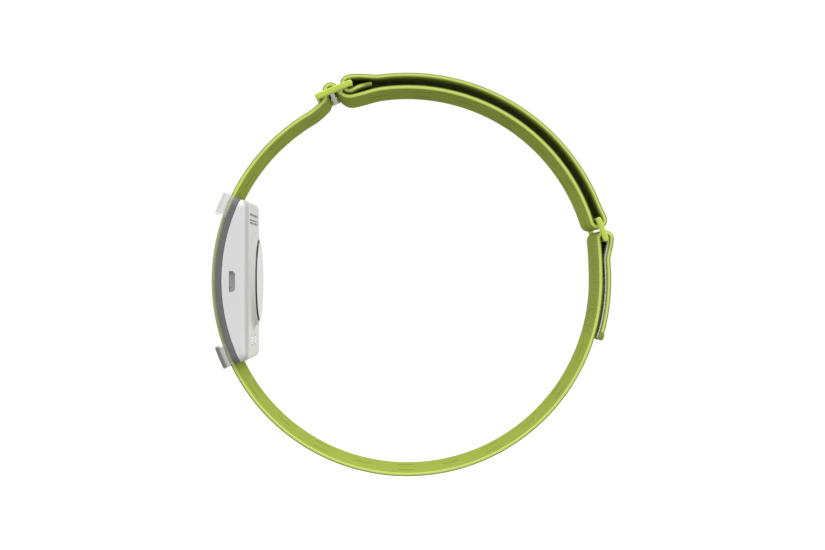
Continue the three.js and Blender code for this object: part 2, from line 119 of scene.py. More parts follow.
def dropObject(piece):
    bpy.data.objects.remove(piece, do_unlink=True)


def bevelled(piece, width, segments=3, limit=40):
    addModifier(piece, "BEVEL", {
        "width": width * mm, "segments": segments, "limit_method": "ANGLE",
        "angle_limit": math.radians(limit), "harden_normals": False})
    return bakeModifiers(piece)


def cut(piece, cutters):
    for cutter in cutters:
        addModifier(piece, "BOOLEAN",
                    {"object": cutter, "operation": "DIFFERENCE", "solver": "EXACT"})
    bakeModifiers(piece)
    for cutter in cutters:
        dropObject(cutter)


def ringFaces(levels, count, closedTube=False):
    # quads between rings of equal length, level by level
    faces = []
    for level in range(levels if closedTube else levels - 1):
        a, b = level * count, ((level + 1) % levels) * count
        faces += [(a + i, a + (i + 1) % count, b + (i + 1) % count, b + i) for i in range(count)]
    return faces


def ringCaps(levels, count):
    return [tuple(reversed(range(count))), tuple(range((levels - 1) * count, levels * count))]


def loft(name, rings, closedTube=False, capEnds=False, sharpAngle=35):
    count = len(rings[0])
    faces = ringFaces(len(rings), count, closedTube)
    if capEnds:
        faces += ringCaps(len(rings), count)
    points = [point for level in rings for point in level]
    piece = outwards(makeMesh(name, points, faces, sharpAngle))
    resharpen(piece.data, sharpAngle)
    return piece


def prism(name, outline, low, high, axis="Y"):
    # an outline in the side view (x, z) run across Y, or in plan (y, z) run along X
    if axis == "Y":
        rings = [[(x, level, z) for x, z in outline] for level in (low, high)]
    else:
        rings = [[(level, y, z) for y, z in outline] for level in (low, high)]
    return loft(name, rings, capEnds=True)


def turned(name, profile, segments=96):
    # profile: (radius, x) points round X, which end on the axis or close on themselves
    onAxis = profile[0][0] == 0
    body = profile[1:-1] if onAxis else profile
    rings = [[(x, r * math.cos(2 * math.pi * i / segments),
               r * math.sin(2 * math.pi * i / segments))
              for i in range(segments)] for r, x in body]
    return loft(name, rings, closedTube=not onAxis, capEnds=onAxis)


def joinObjects(name, pieces):
    work = bmesh.new()
    for piece in pieces:
        work.from_mesh(piece.data)
    mesh = bpy.data.meshes.new(name)
    work.to_mesh(mesh)
    work.free()
    for piece in pieces:
        dropObject(piece)
    resharpen(mesh)
    return newObject(name, mesh)


def moulded(name, pieces, voxel, rounds):
    # overlapping pieces become one moulding with small fillets where they meet
    piece = joinObjects(name, pieces)
    addModifier(piece, "REMESH",
                {"mode": "VOXEL", "voxel_size": voxel * mm, "use_smooth_shade": True})
    addModifier(piece, "SMOOTH", {"factor": 0.5, "iterations": rounds})
    return bakeModifiers(piece, 60)


# Points, directions and routes lie in the side view, as (x, z).
def polar(radius, degrees, centre=(0.0, 0.0)):
    angle = math.radians(degrees)
    return (centre[0] + radius * math.cos(angle), centre[1] + radius * math.sin(angle))


def shifted(point, direction, distance):
    return (point[0] + direction[0] * distance, point[1] + direction[1] * distance)


def gap(a, b):
    return math.hypot(b[0] - a[0], b[1] - a[1])


def arcEnd(arc, degrees):
    centre, radius, start, end = arc
    turn = 1 if end > start else -1
    return polar(radius, degrees, centre), polar(turn, degrees + 90)


def sampleArc(arc, longest=1.2, widest=8):
    centre, radius, start, end = arc
    step = min(widest, math.degrees(longest / radius))
    steps = max(1, math.ceil(abs(end - start) / step))
    return [polar(radius, start + (end - start) * i / steps, centre) for i in range(steps + 1)]


def joinEnds(a, b, spacing=0.5, pull=0.36):
    # an easy curve from the end of one arc to the start of the next
    (p, dp), (q, dq) = a, b
    reach = pull * gap(p, q)
    c, d = shifted(p, dp, reach), shifted(q, dq, -reach)
    steps = max(3, math.ceil(gap(p, q) / spacing))
    made = []
    for i in range(1, steps):
        t = i / steps
        w = ((1 - t) ** 3, 3 * t * (1 - t) ** 2, 3 * t * t * (1 - t), t ** 3)
        made.append(tuple(w[0] * p[k] + w[1] * c[k] + w[2] * d[k] + w[3] * q[k] for k in (0, 1)))
    return made


def route(arcs):
    points = []
    for i, arc in enumerate(arcs):
        if i:
            before = arcs[i - 1]
            points += joinEnds(arcEnd(before, before[3]), arcEnd(arc, arc[2]))
        points += sampleArc(arc)
    return points


def sideNormals(points):
    normals = []
    for i in range(len(points)):
        a, b = points[max(i - 1, 0)], points[min(i + 1, len(points) - 1)]
        length = gap(a, b)
        normals.append((-(b[1] - a[1]) / length, (b[0] - a[0]) / length))
    return normals


def offsetRoute(points, distance):
    return [shifted(p, n, distance) for p, n in zip(points, sideNormals(points))]


def roundedOutline(halfLength, halfHeight, radius, cornerSteps=10, sideSteps=12):
    # corners as arcs, straight sides cut into equal steps
    corners = [(halfLength - radius, halfHeight - radius, 0),
               (radius - halfLength, halfHeight - radius, 90),
               (radius - halfLength, radius - halfHeight, 180),
               (halfLength - radius, radius - halfHeight, 270)]
    arcs = [[polar(radius, start + 90 * i / cornerSteps, (cx, cy)) for i in range(cornerSteps + 1)]
            for cx, cy, start in corners]
    outline = []
    for i, arc in enumerate(arcs):
        outline += arc
        a, b = arc[-1], arcs[(i + 1) % 4][0]
        for k in range(1, sideSteps):
            t = k / sideSteps
            outline.append((a[0] + (b[0] - a[0]) * t, a[1] + (b[1] - a[1]) * t))
    return outline


def operation(name, swapped=False):
    def apply(self, other=None):
        return self.maths(name, *((other, self) if swapped else (self, other)))
    return apply


class Wire:
    # a socket that takes part in sums, so that shader maths reads as an expression
    def __init__(self, tree, socket):
        self.tree, self.socket = tree, socket

    def maths(self, name, a, b=None):
        return self.tree.node("ShaderNodeMath", {0: a, 1: b}, operation=name)

    __add__, __radd__ = operation("ADD"), operation("ADD", swapped=True)
    __sub__, __rsub__ = operation("SUBTRACT"), operation("SUBTRACT", swapped=True)
    __mul__, __rmul__ = operation("MULTIPLY"), operation("MULTIPLY", swapped=True)
    __mod__, __abs__ = operation("FLOORED_MODULO"), operation("ABSOLUTE")
    below, sine = operation("LESS_THAN"), operation("SINE")

    def __neg__(self):
        return self * -1


class Tree:
    def __init__(self, nodeTree):
        self.nodes = nodeTree.nodes
        self.links = nodeTree.links

    def node(self, kind, inputs=None, output=0, **settings):
        made = self.nodes.new(kind)
        for key, value in settings.items():
            setattr(made, key, value)
        for key, value in (inputs or {}).items():
            if isinstance(value, Wire):
                self.links.new(value.socket, made.inputs[key])
            elif value is not None:
                made.inputs[key].default_value = value
        return Wire(self, made.outputs[output]) if len(made.outputs) else None

    def axes(self, vector):
        first = self.node("ShaderNodeSeparateXYZ", {0: vector})
        return [Wire(self, output) for output in first.socket.node.outputs]

    def combined(self, parts):
        return self.node("ShaderNodeCombineXYZ", parts)

    def reach(self, vector, kept):
        # how far a point lies from the axis that the kept directions leave out
        flat = self.node("ShaderNodeVectorMath", {0: vector, 1: kept}, operation="MULTIPLY")
        return self.node("ShaderNodeVectorMath", {0: flat}, 1, operation="LENGTH")

    def mixed(self, factor, a, b):
        return self.node("ShaderNodeMix", {0: factor, 6: a, 7: b}, 2, data_type="RGBA")

    def smooth(self, value, low, high):
        return self.node("ShaderNodeMapRange", {0: value, 1: low, 2: high, 3: 0.0, 4: 1.0},
                         interpolation_type="SMOOTHSTEP")

    def noise(self, vector, scale, detail=3.0, rough=0.5):
        return self.node("ShaderNodeTexNoise", {"Vector": vector, "Scale": scale, "Detail": detail,
                                                    "Roughness": rough})


def rgba(colour, shade=1.0):
    return (*[c * shade for c in colour], 1.0)


def startMaterial(name):
    material = bpy.data.materials.new(name)
    material.use_nodes = True
    tree = Tree(material.node_tree)
    tree.nodes.clear()
    return material, tree


def finishMaterial(tree, inputs):
    shader = tree.node("ShaderNodeBsdfPrincipled", inputs)
    tree.node("ShaderNodeOutputMaterial", {"Surface": shader})


def bump(tree, height, distance):
    return tree.node("ShaderNodeBump",
                     {"Height": height, "Distance": distance * mm, "Strength": 1.0})


perMetre = 1 / mm


def objectPoint(tree, scale=(perMetre, perMetre, perMetre)):
    # object coordinates in millimetres
    point = tree.node("ShaderNodeTexCoord", output=3)
    return tree.node("ShaderNodeMapping", {"Vector": point, "Scale": scale})


plastic = {"cloudScale": 0.12, "cloudLow": 0.35, "cloudHigh": 0.65, "glossSpread": 0.12}


def mouldedPlastic(name, colour, roughness=0.4, grain=0.006, grainScale=6.0, coat=0.0, shade=0.04):
    material, tree = startMaterial(name)
    point = objectPoint(tree)
    fine = tree.noise(point, grainScale)
    cloud = tree.smooth(tree.noise(point, plastic["cloudScale"]), plastic["cloudLow"],
                        plastic["cloudHigh"])
    finishMaterial(tree, {"Base Color": tree.mixed(cloud, rgba(colour), rgba(colour, 1 - shade)),
                          "Roughness": roughness + plastic["glossSpread"] * (fine - 0.5),
                          "Normal": bump(tree, fine, grain), "Coat Weight": coat})
    return material


# painted shade on the housing's white: greyer in a band down each long edge of the skin face,
# and round the boss
housingPaintedShade = {
    "faceStart": 1.9, "faceFull": 0.9, "bandStart": 16.5, "bandFull": 21.6, "bandFade": 22.2,
    "bandEnd": 22.95, "bossFull": 15.8, "bossFade": 18.6, "bossShare": 0.5, "tintShade": 0.985,
}


def shelledPlastic(name, colour, shadeGrey):
    h = housingPaintedShade
    material, tree = startMaterial(name)
    point = objectPoint(tree)
    fine = tree.noise(point, 5.0)
    x, y, _ = tree.axes(point)
    front = tree.smooth(x, skinX - h["faceStart"], skinX - h["faceFull"])
    filletShade = front * tree.smooth(abs(y), h["bandStart"], h["bandFull"]) * tree.smooth(
        abs(y), h["bandEnd"], h["bandFade"])
    bossShade = h["bossShare"] * front * tree.smooth(tree.reach(point, (0.0, 1.0, 1.0)), h["bossFade"],
                                                  h["bossFull"])
    cloud = tree.smooth(tree.noise(point, plastic["cloudScale"]), plastic["cloudLow"],
                        plastic["cloudHigh"])
    tint = tree.mixed(cloud, rgba(colour), rgba(colour, h["tintShade"]))
    # painted shade: the fillet band and the boss turn towards the shade grey
    finishMaterial(tree, {"Base Color": tree.mixed(filletShade + bossShade, tint, rgba(shadeGrey)),
                          "Roughness": 0.38 + plastic["glossSpread"] * (fine - 0.5),
                          "Coat Weight": 0.1,
                          "Normal": bump(tree, fine, 0.002)})
    return material


def metal(name, colour, roughness=0.25):
    # brushed along Y
    material, tree = startMaterial(name)
    brushed = tree.noise(objectPoint(tree, (perMetre, 0.03 * perMetre, perMetre)), 9.0)
    finishMaterial(tree, {"Base Color": rgba(colour), "Metallic": 1.0,
                          "Roughness": roughness + 0.2 * (brushed - 0.5),
                          "Normal": bump(tree, brushed, 0.004)})
    return material


clearLook = {
    "colour": (0.97, 0.97, 0.98), "haze": 0.06, "besideStrap": 0.14, "turnedAway": 0.2,
    "uneven": 0.04, "edgeShade": 0.6, "plateBlend": 0.4,
}


def clearPlastic(name, plate, shade):
    # thin clear moulding with painted shade: greyer in the long plate and where it turns away from
    # view
    k = clearLook
    material, tree = startMaterial(name)
    point = objectPoint(tree)
    film = tree.noise(point, 0.5)
    radius = tree.reach(point, (1.0, 0.0, 1.0))
    onPlate = tree.smooth(radius, plateFrom, plateFrom + k["plateBlend"])
    besideStrap = tree.smooth(radius, strapTop + 0.3, strapTop - 0.1)
    turnedAway = tree.smooth(tree.node("ShaderNodeLayerWeight", {"Blend": 0.5}, 1), 0.35, 0.95)
    body = tree.mixed(onPlate, rgba(k["colour"]), rgba(k["colour"], shade))
    alpha = (k["haze"] + plate * onPlate + k["besideStrap"] * besideStrap
             + k["turnedAway"] * turnedAway)
    finishMaterial(tree, {"Base Color": tree.mixed(turnedAway, body,
                                                   rgba(k["colour"], k["edgeShade"] * shade)),
                          "Roughness": 0.08 + 0.08 * tree.smooth(film, 0.45, 0.8), "IOR": 1.49,
                          "Alpha": alpha + k["uneven"] * (film - 0.5), "Coat Weight": 0.2,
                          "Normal": bump(tree, film, 0.01)})
    return material


def milkyWindow(name, colour, ink, clearRadius):
    # milky lens with a dark upright edge
    material, tree = startMaterial(name)
    point = objectPoint(tree)
    film = tree.noise(point, 0.3)
    printed = tree.smooth(tree.reach(point, (0.0, 1.0, 1.0)), clearRadius - 0.1, clearRadius + 0.1)
    lens = tree.mixed(tree.smooth(film, 0.4, 0.6), rgba(colour), rgba(colour, 0.97))
    finishMaterial(tree, {"Base Color": tree.mixed(printed, lens, rgba(ink)), "IOR": 1.45,
                          "Roughness": 0.14 + 0.05 * film, "Coat Weight": 0.6,
                          "Normal": bump(tree, film, 0.004)})
    return material


def circuitMask(name, colour, trace):
    material, tree = startMaterial(name)
    cells = tree.node("ShaderNodeTexVoronoi", {"Vector": objectPoint(tree), "Scale": 0.45},
                      feature="DISTANCE_TO_EDGE", distance="EUCLIDEAN")
    lines = tree.smooth(cells, 0.04, 0.07)
    finishMaterial(tree, {"Base Color": tree.mixed(lines, rgba(trace), rgba(colour)),
                          "Roughness": 0.35 + 0.1 * lines, "Normal": bump(tree, 1 - lines, 0.03)})
    return material


# Webbing is read from its own UV map: u runs along it and v round its section, in millimetres.
weave = {
    "colour": (0.37, 0.458, 0.047), "shadeGreen": (0.295, 0.37, 0.032), "rim": (0.71, 0.85, 0.19),
    "borderShade": (0.17, 0.205, 0.035), "mark": (0.09, 0.12, 0.008), "dullGrey": (0.48, 0.53, 0.30),
    "column": 1.05, "pick": 0.62, "rimPick": 0.5, "bump": 0.07, "cloudShade": 0.9,
    "rimShade": 0.82, "rimStart": 0.3, "rimFull": 0.1, "rimBright": 0.24, "rimDark": 0.52,
    "borderDepth": 0.85, "backTurned": 0.2, "innerBorder": 0.8, "innerTurned": 0.2,
    "innerLag": 0.15, "innerAdvance": 0.2, "turnLength": 2.0, "markPitch": 30.6,
    "markLength": 5.6, "markWidth": 0.85, "markOffset": 8.4, "markShift": -1.5, "markDepth": 1.2,
    "sewnDark": 3.0, "sewnBlend": 1.6, "sewnShade": 0.45, "podSide": -20.0, "podAngle": 24.0,
    "dullShare": 0.8,
}


def webbingFinish(name, faceWidth, rimWidth, markStart, outerLayerEnd, tailStart):
    w = weave
    material, tree = startMaterial(name)
    uv = tree.node("ShaderNodeUVMap", uv_map="weave")
    along, around, _ = tree.axes(uv)
    # from the face's middle, past its edge on to the rim
    centred = around % (faceWidth + rimWidth) - faceWidth / 2
    rim = tree.smooth(abs(centred), faceWidth / 2 - w["rimStart"], faceWidth / 2 + w["rimFull"])
    secondEdge = 1 - around.below(faceWidth + rimWidth)
    # negative towards the back face
    fromRimMiddle = (centred - (faceWidth + rimWidth) / 2) * (2 * secondEdge - 1)

    # past its folds the webbing lies with its inner face outwards, and the painted shade line goes
    # with the outer side
    turnedOut = tree.smooth(along, outerLayerEnd, outerLayerEnd - w["turnLength"]) + tree.smooth(
        along, tailStart, tailStart + w["turnLength"])
    # painted shade: dark lines along the rim's borders, where the rounded edge turns away from the
    # light
    backShadeLine = tree.smooth(-fromRimMiddle, w["rimBright"], w["rimDark"])
    innerShadeLine = tree.smooth(fromRimMiddle + w["innerAdvance"] * turnedOut,
                            w["rimBright"] + w["innerLag"],
                            w["rimDark"] + w["innerLag"])
    borderShade = (backShadeLine * (1 - w["backTurned"] * turnedOut)
              + innerShadeLine * (w["innerBorder"] + w["innerTurned"] * turnedOut)) * rim

    # knitted columns along the webbing, crossed by slanting picks
    columns = abs((around * (math.pi / w["column"])).sine())
    chevron = abs(((along + 0.5 * columns) * (math.pi / w["pick"])).sine())
    picks = abs((along * (math.pi / w["rimPick"])).sine())
    fuzz = tree.noise(uv, 1.6, 4.0)
    height = (1 - rim) * (0.6 * columns + 0.4 * chevron) + rim * (0.35 * picks + 0.5) + 0.3 * fuzz
    light = (1 - rim) * (0.55 * columns + 0.45 * chevron) + rim
    # painted shade: the knit's grooves are darker green
    body = tree.mixed(tree.smooth(light + 0.25 * (fuzz - 0.5), 0.1, 0.75), rgba(w["shadeGreen"]),
                      rgba(w["colour"]))
    cloud = tree.smooth(tree.noise(uv, 0.07), 0.4, 0.7)
    body = tree.mixed(0.5 * cloud, body, rgba(w["colour"], w["cloudShade"]))

    # woven marks: pairs and single ones by turns
    step = (along - markStart) % (w["markPitch"] / 2)
    pairTurn = ((along - markStart) % w["markPitch"]).below(w["markPitch"] / 2)
    offset = centred - w["markShift"]
    pair = tree.smooth(abs(abs(offset) - w["markOffset"]), w["markWidth"], 0.5 * w["markWidth"])
    single = tree.smooth(abs(offset), w["markWidth"], 0.5 * w["markWidth"])
    mark = step.below(w["markLength"]) * (pairTurn * pair + (1 - pairTurn) * single)
    height = height - w["markDepth"] * mark
    body = tree.mixed(mark * (0.68 + 0.3 * picks), body, rgba(w["mark"]))

    # painted highlight: the rim is lighter and paler than the face
    edge = tree.mixed(0.4 * picks + 0.4 * (fuzz - 0.5), rgba(w["rim"]),
                      rgba(w["rim"], w["rimShade"]))
    body = tree.mixed(rim, body, edge)
    body = tree.mixed(borderShade * w["borderDepth"], body, rgba(w["borderShade"]))
    # painted shadow: the sewn end, under the outer layer, is darker
    sewn = tree.smooth(along, w["sewnDark"] + w["sewnBlend"], w["sewnDark"] - w["sewnBlend"])
    body = tree.mixed(sewn * 0.75, body, rgba(w["shadeGreen"], w["sewnShade"]))
    # the rims over the pod are duller and greyer
    x, _, z = tree.axes(objectPoint(tree))
    overPod = x.below(w["podSide"]) * tree.smooth(abs(z), w["podAngle"] + 1, w["podAngle"] - 2)
    body = tree.mixed(overPod * rim * w["dullShare"], body, rgba(w["dullGrey"]))
    finishMaterial(tree, {"Base Color": body, "Roughness": 0.72 + 0.15 * fuzz, "Sheen Weight": 0.03,
                          "Sheen Roughness": 0.4, "Sheen Tint": (0.85, 0.95, 0.4, 1.0),
                          "Specular IOR Level": 0.12, "Normal": bump(tree, height, w["bump"])})
    return material


def yarn(name, colour):
    material, tree = startMaterial(name)
    fibre = tree.noise(objectPoint(tree), 4.0, 5.0, 0.7)
    tint = tree.mixed(tree.smooth(fibre, 0.3, 0.7), rgba(colour, 0.72), rgba(colour))
    finishMaterial(tree, {"Base Color": tint, "Roughness": 0.75 + 0.1 * fibre, "Sheen Weight": 0.05,
                          "Sheen Roughness": 0.45, "Specular IOR Level": 0.15,
                          "Normal": bump(tree, fibre, 0.05)})
    return material


def rowsTree():
    # rows of one shape along a path in the side view, each row running across Y
    tree = bpy.data.node_groups.new("rowsAlongPath", "GeometryNodeTree")
    given = {"Geometry": "Geometry", "Shape": "Object", "Spacing": "Float", "Row count": "Int",
             "Row spacing": "Float", "Turn": "Float", "Wander": "Float", "Seed": "Int",
             "Material": "Material"}
    for name, kind in given.items():
        tree.interface.new_socket(name, in_out="INPUT", socket_type="NodeSocket" + kind)
    tree.interface.new_socket("Geometry", in_out="OUTPUT", socket_type="NodeSocketGeometry")
    t = Tree(tree)
    take = {socket.name: Wire(t, socket) for socket in t.nodes.new("NodeGroupInput").outputs
            if socket.name}
    path = t.node("GeometryNodeMeshToCurve", {"Mesh": take["Geometry"]})
    even = t.node("GeometryNodeResampleCurve", {"Curve": path, "Length": take["Spacing"]},
                  mode="LENGTH")
    run, _, rise = t.axes(t.node("GeometryNodeInputTangent"))
    turn = t.combined({1: -run.maths("ARCTAN2", rise, run)})
    shape = t.node("GeometryNodeObjectInfo", {"Object": take["Shape"]}, "Geometry",
                   transform_space="ORIGINAL")
    begin = (take["Row count"] - 1) * take["Row spacing"] * -0.5
    line = t.node("GeometryNodeMeshLine", {
        "Count": take["Row count"], "Start Location": t.combined({1: begin}),
        "Offset": t.combined({1: take["Row spacing"]})}, mode="OFFSET")

    def astray(limit):
        # a random turn about Z
        angle = t.node("FunctionNodeRandomValue",
                       {2: -take[limit], 3: take[limit], "Seed": take["Seed"]}, 1,
                       data_type="FLOAT")
        return t.combined({2: angle})

    row = t.node("GeometryNodeInstanceOnPoints",
                 {"Points": line, "Instance": shape, "Rotation": astray("Turn")})
    row = t.node("GeometryNodeRealizeInstances", {"Geometry": row})
    laid = t.node("GeometryNodeInstanceOnPoints",
                  {"Points": even, "Instance": row, "Rotation": turn})
    laid = t.node("GeometryNodeRotateInstances", {
        "Instances": laid, "Rotation": astray("Wander"), "Local Space": True})
    real = t.node("GeometryNodeRealizeInstances", {"Geometry": laid})
    painted = t.node("GeometryNodeSetMaterial", {"Geometry": real, "Material": take["Material"]})
    t.node("NodeGroupOutput", {"Geometry": painted})
    return tree


rows = rowsTree()


def alongPath(name, points, shape, material, spacing, rowCount=1, rowSpacing=1.0, turn=0.0, seed=1,
              wander=0.0):
    # points: (x, z) of the path; shape: X along the path, Y across, Z away from the webbing
    edges = [(i, i + 1) for i in range(len(points) - 1)]
    piece = makeMesh(name, [(x, 0, z) for x, z in points], [], edges=edges)
    modifier = piece.modifiers.new("rows", "NODES")
    modifier.node_group = rows
    sockets = {item.name: item.identifier for item in rows.interface.items_tree
               if item.in_out == "INPUT"}
    values = {"Shape": shape, "Spacing": spacing * mm, "Row count": rowCount,
              "Row spacing": rowSpacing * mm,
              "Turn": turn, "Wander": wander, "Seed": seed, "Material": material}
    for key, value in values.items():
        modifier[sockets[key]] = value
    bakeModifiers(piece, 50)
    dropObject(shape)
    return piece


def capsule(name, length, width, height, alongX=True, sides=6):
    # a short thread or rib with tapered ends; its stations are shares of length and of size
    stations = [(-0.5, 0.25), (-0.38, 0.85), (0, 1.0), (0.38, 0.85), (0.5, 0.25)]
    rings = []
    for station, size in stations:
        hoop = []
        for i in range(sides):
            a = 2 * math.pi * i / sides
            side, up = 0.5 * width * size * math.cos(a), 0.5 * height * size * math.sin(a)
            hoop.append((station * length, side, up) if alongX else (side, station * length, up))
        rings.append(hoop)
    return loft(name, rings, capEnds=True)


loopSize = {"innerRadius": 63.8, "width": 33.0, "thickness": 1.5, "layerGap": 0.4}
adjuster = {
    "angle": 106.4, "tilt": 22.6, "barSpacing": 11.1, "barRadius": 1.05, "dip": 0.3,
    "barGap": 0.5, "middleAlong": 6.6, "middleWidth": 1.6, "middleHeight": 1.7, "middleGap": 0.3,
    "archRise": 0.5, "middleCorner": 0.3, "middleShort": 0.05, "railWidth": 2.1,
    "railCorner": 0.7, "railThickness": 2.0, "railEdge": 0.55, "barLap": 1, "sewnTail": 8.0,
    "voxel": 0.14,
}
ring = {
    "angle": 17.6, "barSpacing": 6.7, "barDraw": 0.3, "barRadius": 0.85, "sideWidth": 1.9,
    "upperGap": 0.65, "lowerGap": 0.55, "lift": 0.75, "outerDraw": 0.4, "voxel": 0.13,
}
tail = {
    "top": 5.0, "end": -17.2, "capLength": 2.7, "capThickness": 1.9, "tape": 0.55, "patch": 0.3,
    "play": 0.2, "seam": 0.1, "patchTop": 1.0, "fasteningWidth": 32.2, "bendAbove": 1.3,
    "bendBelow": 1.6,
}
pod = {
    "length": 55.6, "width": 46.0, "depth": 10.8, "corner": 2.8, "edge": 2.4, "endEdge": 1.2,
    "flare": 0.7, "wall": 1.6, "strapGap": 0.4, "cradle": 2.0, "cradleEdge": 0.25, "seam": 0.1,
}

half = loopSize["thickness"] / 2
midRadius = loopSize["innerRadius"] + half
halfWidth = loopSize["width"] / 2
railInner = halfWidth + 0.5
railOuter = railInner + adjuster["railThickness"]


def spanOf(length):
    # degrees that a length takes on the loop's middle line
    return math.degrees(length / midRadius)


wrapRadius = adjuster["barRadius"] + adjuster["barGap"] + half
underRadius = wrapRadius + loopSize["thickness"] + loopSize["layerGap"]
archRadius = adjuster["middleWidth"] / 2 + adjuster["middleGap"] + half
upperFold = ring["barRadius"] + ring["upperGap"] + half
lowerFold = ring["barRadius"] + ring["lowerGap"] + half
rightBar = polar(midRadius + underRadius - adjuster["dip"], adjuster["angle"])
railWay = polar(1, adjuster["tilt"] + 180)
railUp = polar(1, adjuster["tilt"] + 90)
leftBar = shifted(rightBar, railWay, adjuster["barSpacing"])
middleBar = shifted(rightBar, railWay, adjuster["middleAlong"])
arch = shifted(middleBar, railUp, adjuster["archRise"])
outerRadius = midRadius + 2 * upperFold - ring["outerDraw"]
sewnRadius = outerRadius - loopSize["thickness"] - loopSize["layerGap"]
upperBar = polar(midRadius + upperFold, ring["angle"])
lowerBar = polar(midRadius + lowerFold + ring["lift"],
                 ring["angle"] - spanOf(ring["barSpacing"] - ring["barDraw"]))
hinge = polar(lowerFold, 0, lowerBar)
patchInner = loopSize["innerRadius"] + loopSize["thickness"] + tail["seam"]
tapeInner = patchInner + tail["patch"] + tail["play"]
tailRadius = tapeInner + tail["tape"] + tail["seam"] + half
capSpan = spanOf(tail["capLength"])
origin = (0.0, 0.0)

cradleOuter = loopSize["innerRadius"] - pod["strapGap"]
cradleInner = cradleOuter - pod["cradle"]
seamRadius = cradleInner - pod["seam"]
skinX = -(cradleOuter - pod["depth"])
podAngle = math.degrees(math.asin(pod["length"] / 2 / cradleOuter))
skinEnd = -skinX * math.tan(math.radians(podAngle)) + pod["flare"]  # half the skin face's length


# where the webbing's arcs begin and end: lengths along the loop, and degrees round the bars
leads = {
    "sewnFrom": 1, "sewnTo": 3.5, "beforeAdjuster": 10.5, "outerPastRing": 4, "innerPastRing": 3,
    "pastAdjuster": 16.5,
}
turns = {
    "sewnWrap": (-60, -255), "underWrap": (-80, -130), "leftWrap": (5, -45), "arch": 162,
    "loopEnd": 361, "lowerFold": 186,
}
splitAngle = 62  # where the loop's webbing and the tail's webbing meet, on the lower fold
sewnStart = adjuster["angle"] - spanOf(adjuster["sewnTail"])
loopRoute = route([
    (origin, sewnRadius, sewnStart + spanOf(leads["sewnFrom"]),
     sewnStart + spanOf(leads["sewnTo"])),
    (rightBar, wrapRadius, *turns["sewnWrap"]),
    (origin, outerRadius, adjuster["angle"] - spanOf(leads["beforeAdjuster"]),
     ring["angle"] + spanOf(leads["outerPastRing"])),
    (upperBar, upperFold, ring["angle"], ring["angle"] - 180),
    (origin, midRadius, ring["angle"] + spanOf(leads["innerPastRing"]),
     adjuster["angle"] - spanOf(leads["beforeAdjuster"])),
    (rightBar, underRadius, *turns["underWrap"]),
    (arch, archRadius, 180 + adjuster["tilt"] - turns["arch"], 180),
    (leftBar, wrapRadius, *turns["leftWrap"]),
    (origin, midRadius, adjuster["angle"] + spanOf(leads["pastAdjuster"]), turns["loopEnd"]),
    (lowerBar, lowerFold, turns["lowerFold"], splitAngle),
])


def tailRoute(inside, shortOfCap, fromAngle=0):
    rest = (origin, tailRadius - inside, tail["top"], tail["end"] + capSpan + spanOf(shortOfCap))
    start = shifted(hinge, (-1, 0), inside)
    points = joinEnds((start, (0, -1)), arcEnd(rest, tail["top"]), spacing=0.4)
    lead = sampleArc((lowerBar, lowerFold, fromAngle, 0)) if fromAngle else [start]
    return lead + points + sampleArc(rest)


def webbingSection(width, thickness, edge=0.62, faceSteps=12, edgeSteps=8):
    # (across, normal) points round the section
    flat, h = width / 2 - edge, thickness / 2
    section = [(-flat + 2 * flat * i / faceSteps, h) for i in range(faceSteps + 1)]
    turnRound = [(edge * math.sin(math.pi * i / edgeSteps), h * math.cos(math.pi * i / edgeSteps))
                 for i in range(1, edgeSteps)]
    section += [(flat + y, n) for y, n in turnRound]
    section += [(-y, -n) for y, n in section]
    return section


def perimeter(section):
    around = [0.0]
    for i in range(len(section)):
        around.append(around[-1] + gap(section[i], section[(i + 1) % len(section)]))
    return around


def sweepWebbing(name, points, section, uStart=0.0):
    count, around, run = len(section), perimeter(section), [uStart]
    for a, b in zip(points, points[1:]):
        run.append(run[-1] + gap(a, b))
    vertices, uvs = [], []
    for (x, z), (nx, nz) in zip(points, sideNormals(points)):
        vertices += [(x + nx * n, y, z + nz * n) for y, n in section]
    for u, after in zip(run, run[1:]):
        for v, beside in zip(around, around[1:]):
            uvs += [(u, v), (u, beside), (after, beside), (after, v)]
    uvs += [(run[0], v) for v in reversed(around[:count])] + [(run[-1], v) for v in around[:count]]
    faces = ringFaces(len(points), count) + ringCaps(len(points), count)
    piece = makeMesh(name, vertices, faces, 50)
    layer = piece.data.uv_layers.new(name="weave")
    for corner, value in zip(layer.data, uvs):
        corner.uv = value

    def faceOut(work):
        if work.calc_volume(signed=True) < 0:
            bmesh.ops.reverse_faces(work, faces=work.faces)

    editMesh(piece.data, faceOut)
    return piece, run[-1]


def paint(piece, material):
    piece.data.materials.clear()
    piece.data.materials.append(material)


def place(piece, material, slot, body, *nodes):
    if material:
        paint(piece, material)
    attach(piece, body)
    if nodes:
        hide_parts(*nodes)
    return piece


def runTo(points, target):
    # the distance along a route at its nearest point to a target
    runs = [0.0]
    for a, b in zip(points, points[1:]):
        runs.append(runs[-1] + gap(a, b))
    return min(zip(points, runs), key=lambda pair: gap(pair[0], target))[1]


def makeWebbing():
    faceSteps = 12
    section = webbingSection(loopSize["width"], loopSize["thickness"], faceSteps=faceSteps)
    around = perimeter(section)
    faceWidth = around[faceSteps]
    rimWidth = around[len(section) // 2] - faceWidth
    firstMark = runTo(loopRoute, polar(midRadius, -90)) - weave["markLength"] / 2
    upperFoldRun = runTo(loopRoute, polar(upperFold, ring["angle"] - 90, upperBar))
    length = runTo(loopRoute, loopRoute[-1])
    finish = webbingFinish("webbingGreen", faceWidth, rimWidth, firstMark, upperFoldRun, length)
    loop, length = sweepWebbing("loop_webbing", loopRoute, section)
    place(loop, finish, "webbing", "strap", "main_strap")
    tailEnd, _ = sweepWebbing("tail_webbing", tailRoute(0, 0, splitAngle), section, length)
    paint(tailEnd, finish)
    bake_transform(tailEnd)
    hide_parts("strap_tail")
    print("webbing made,", round(length), "mm in the loop")


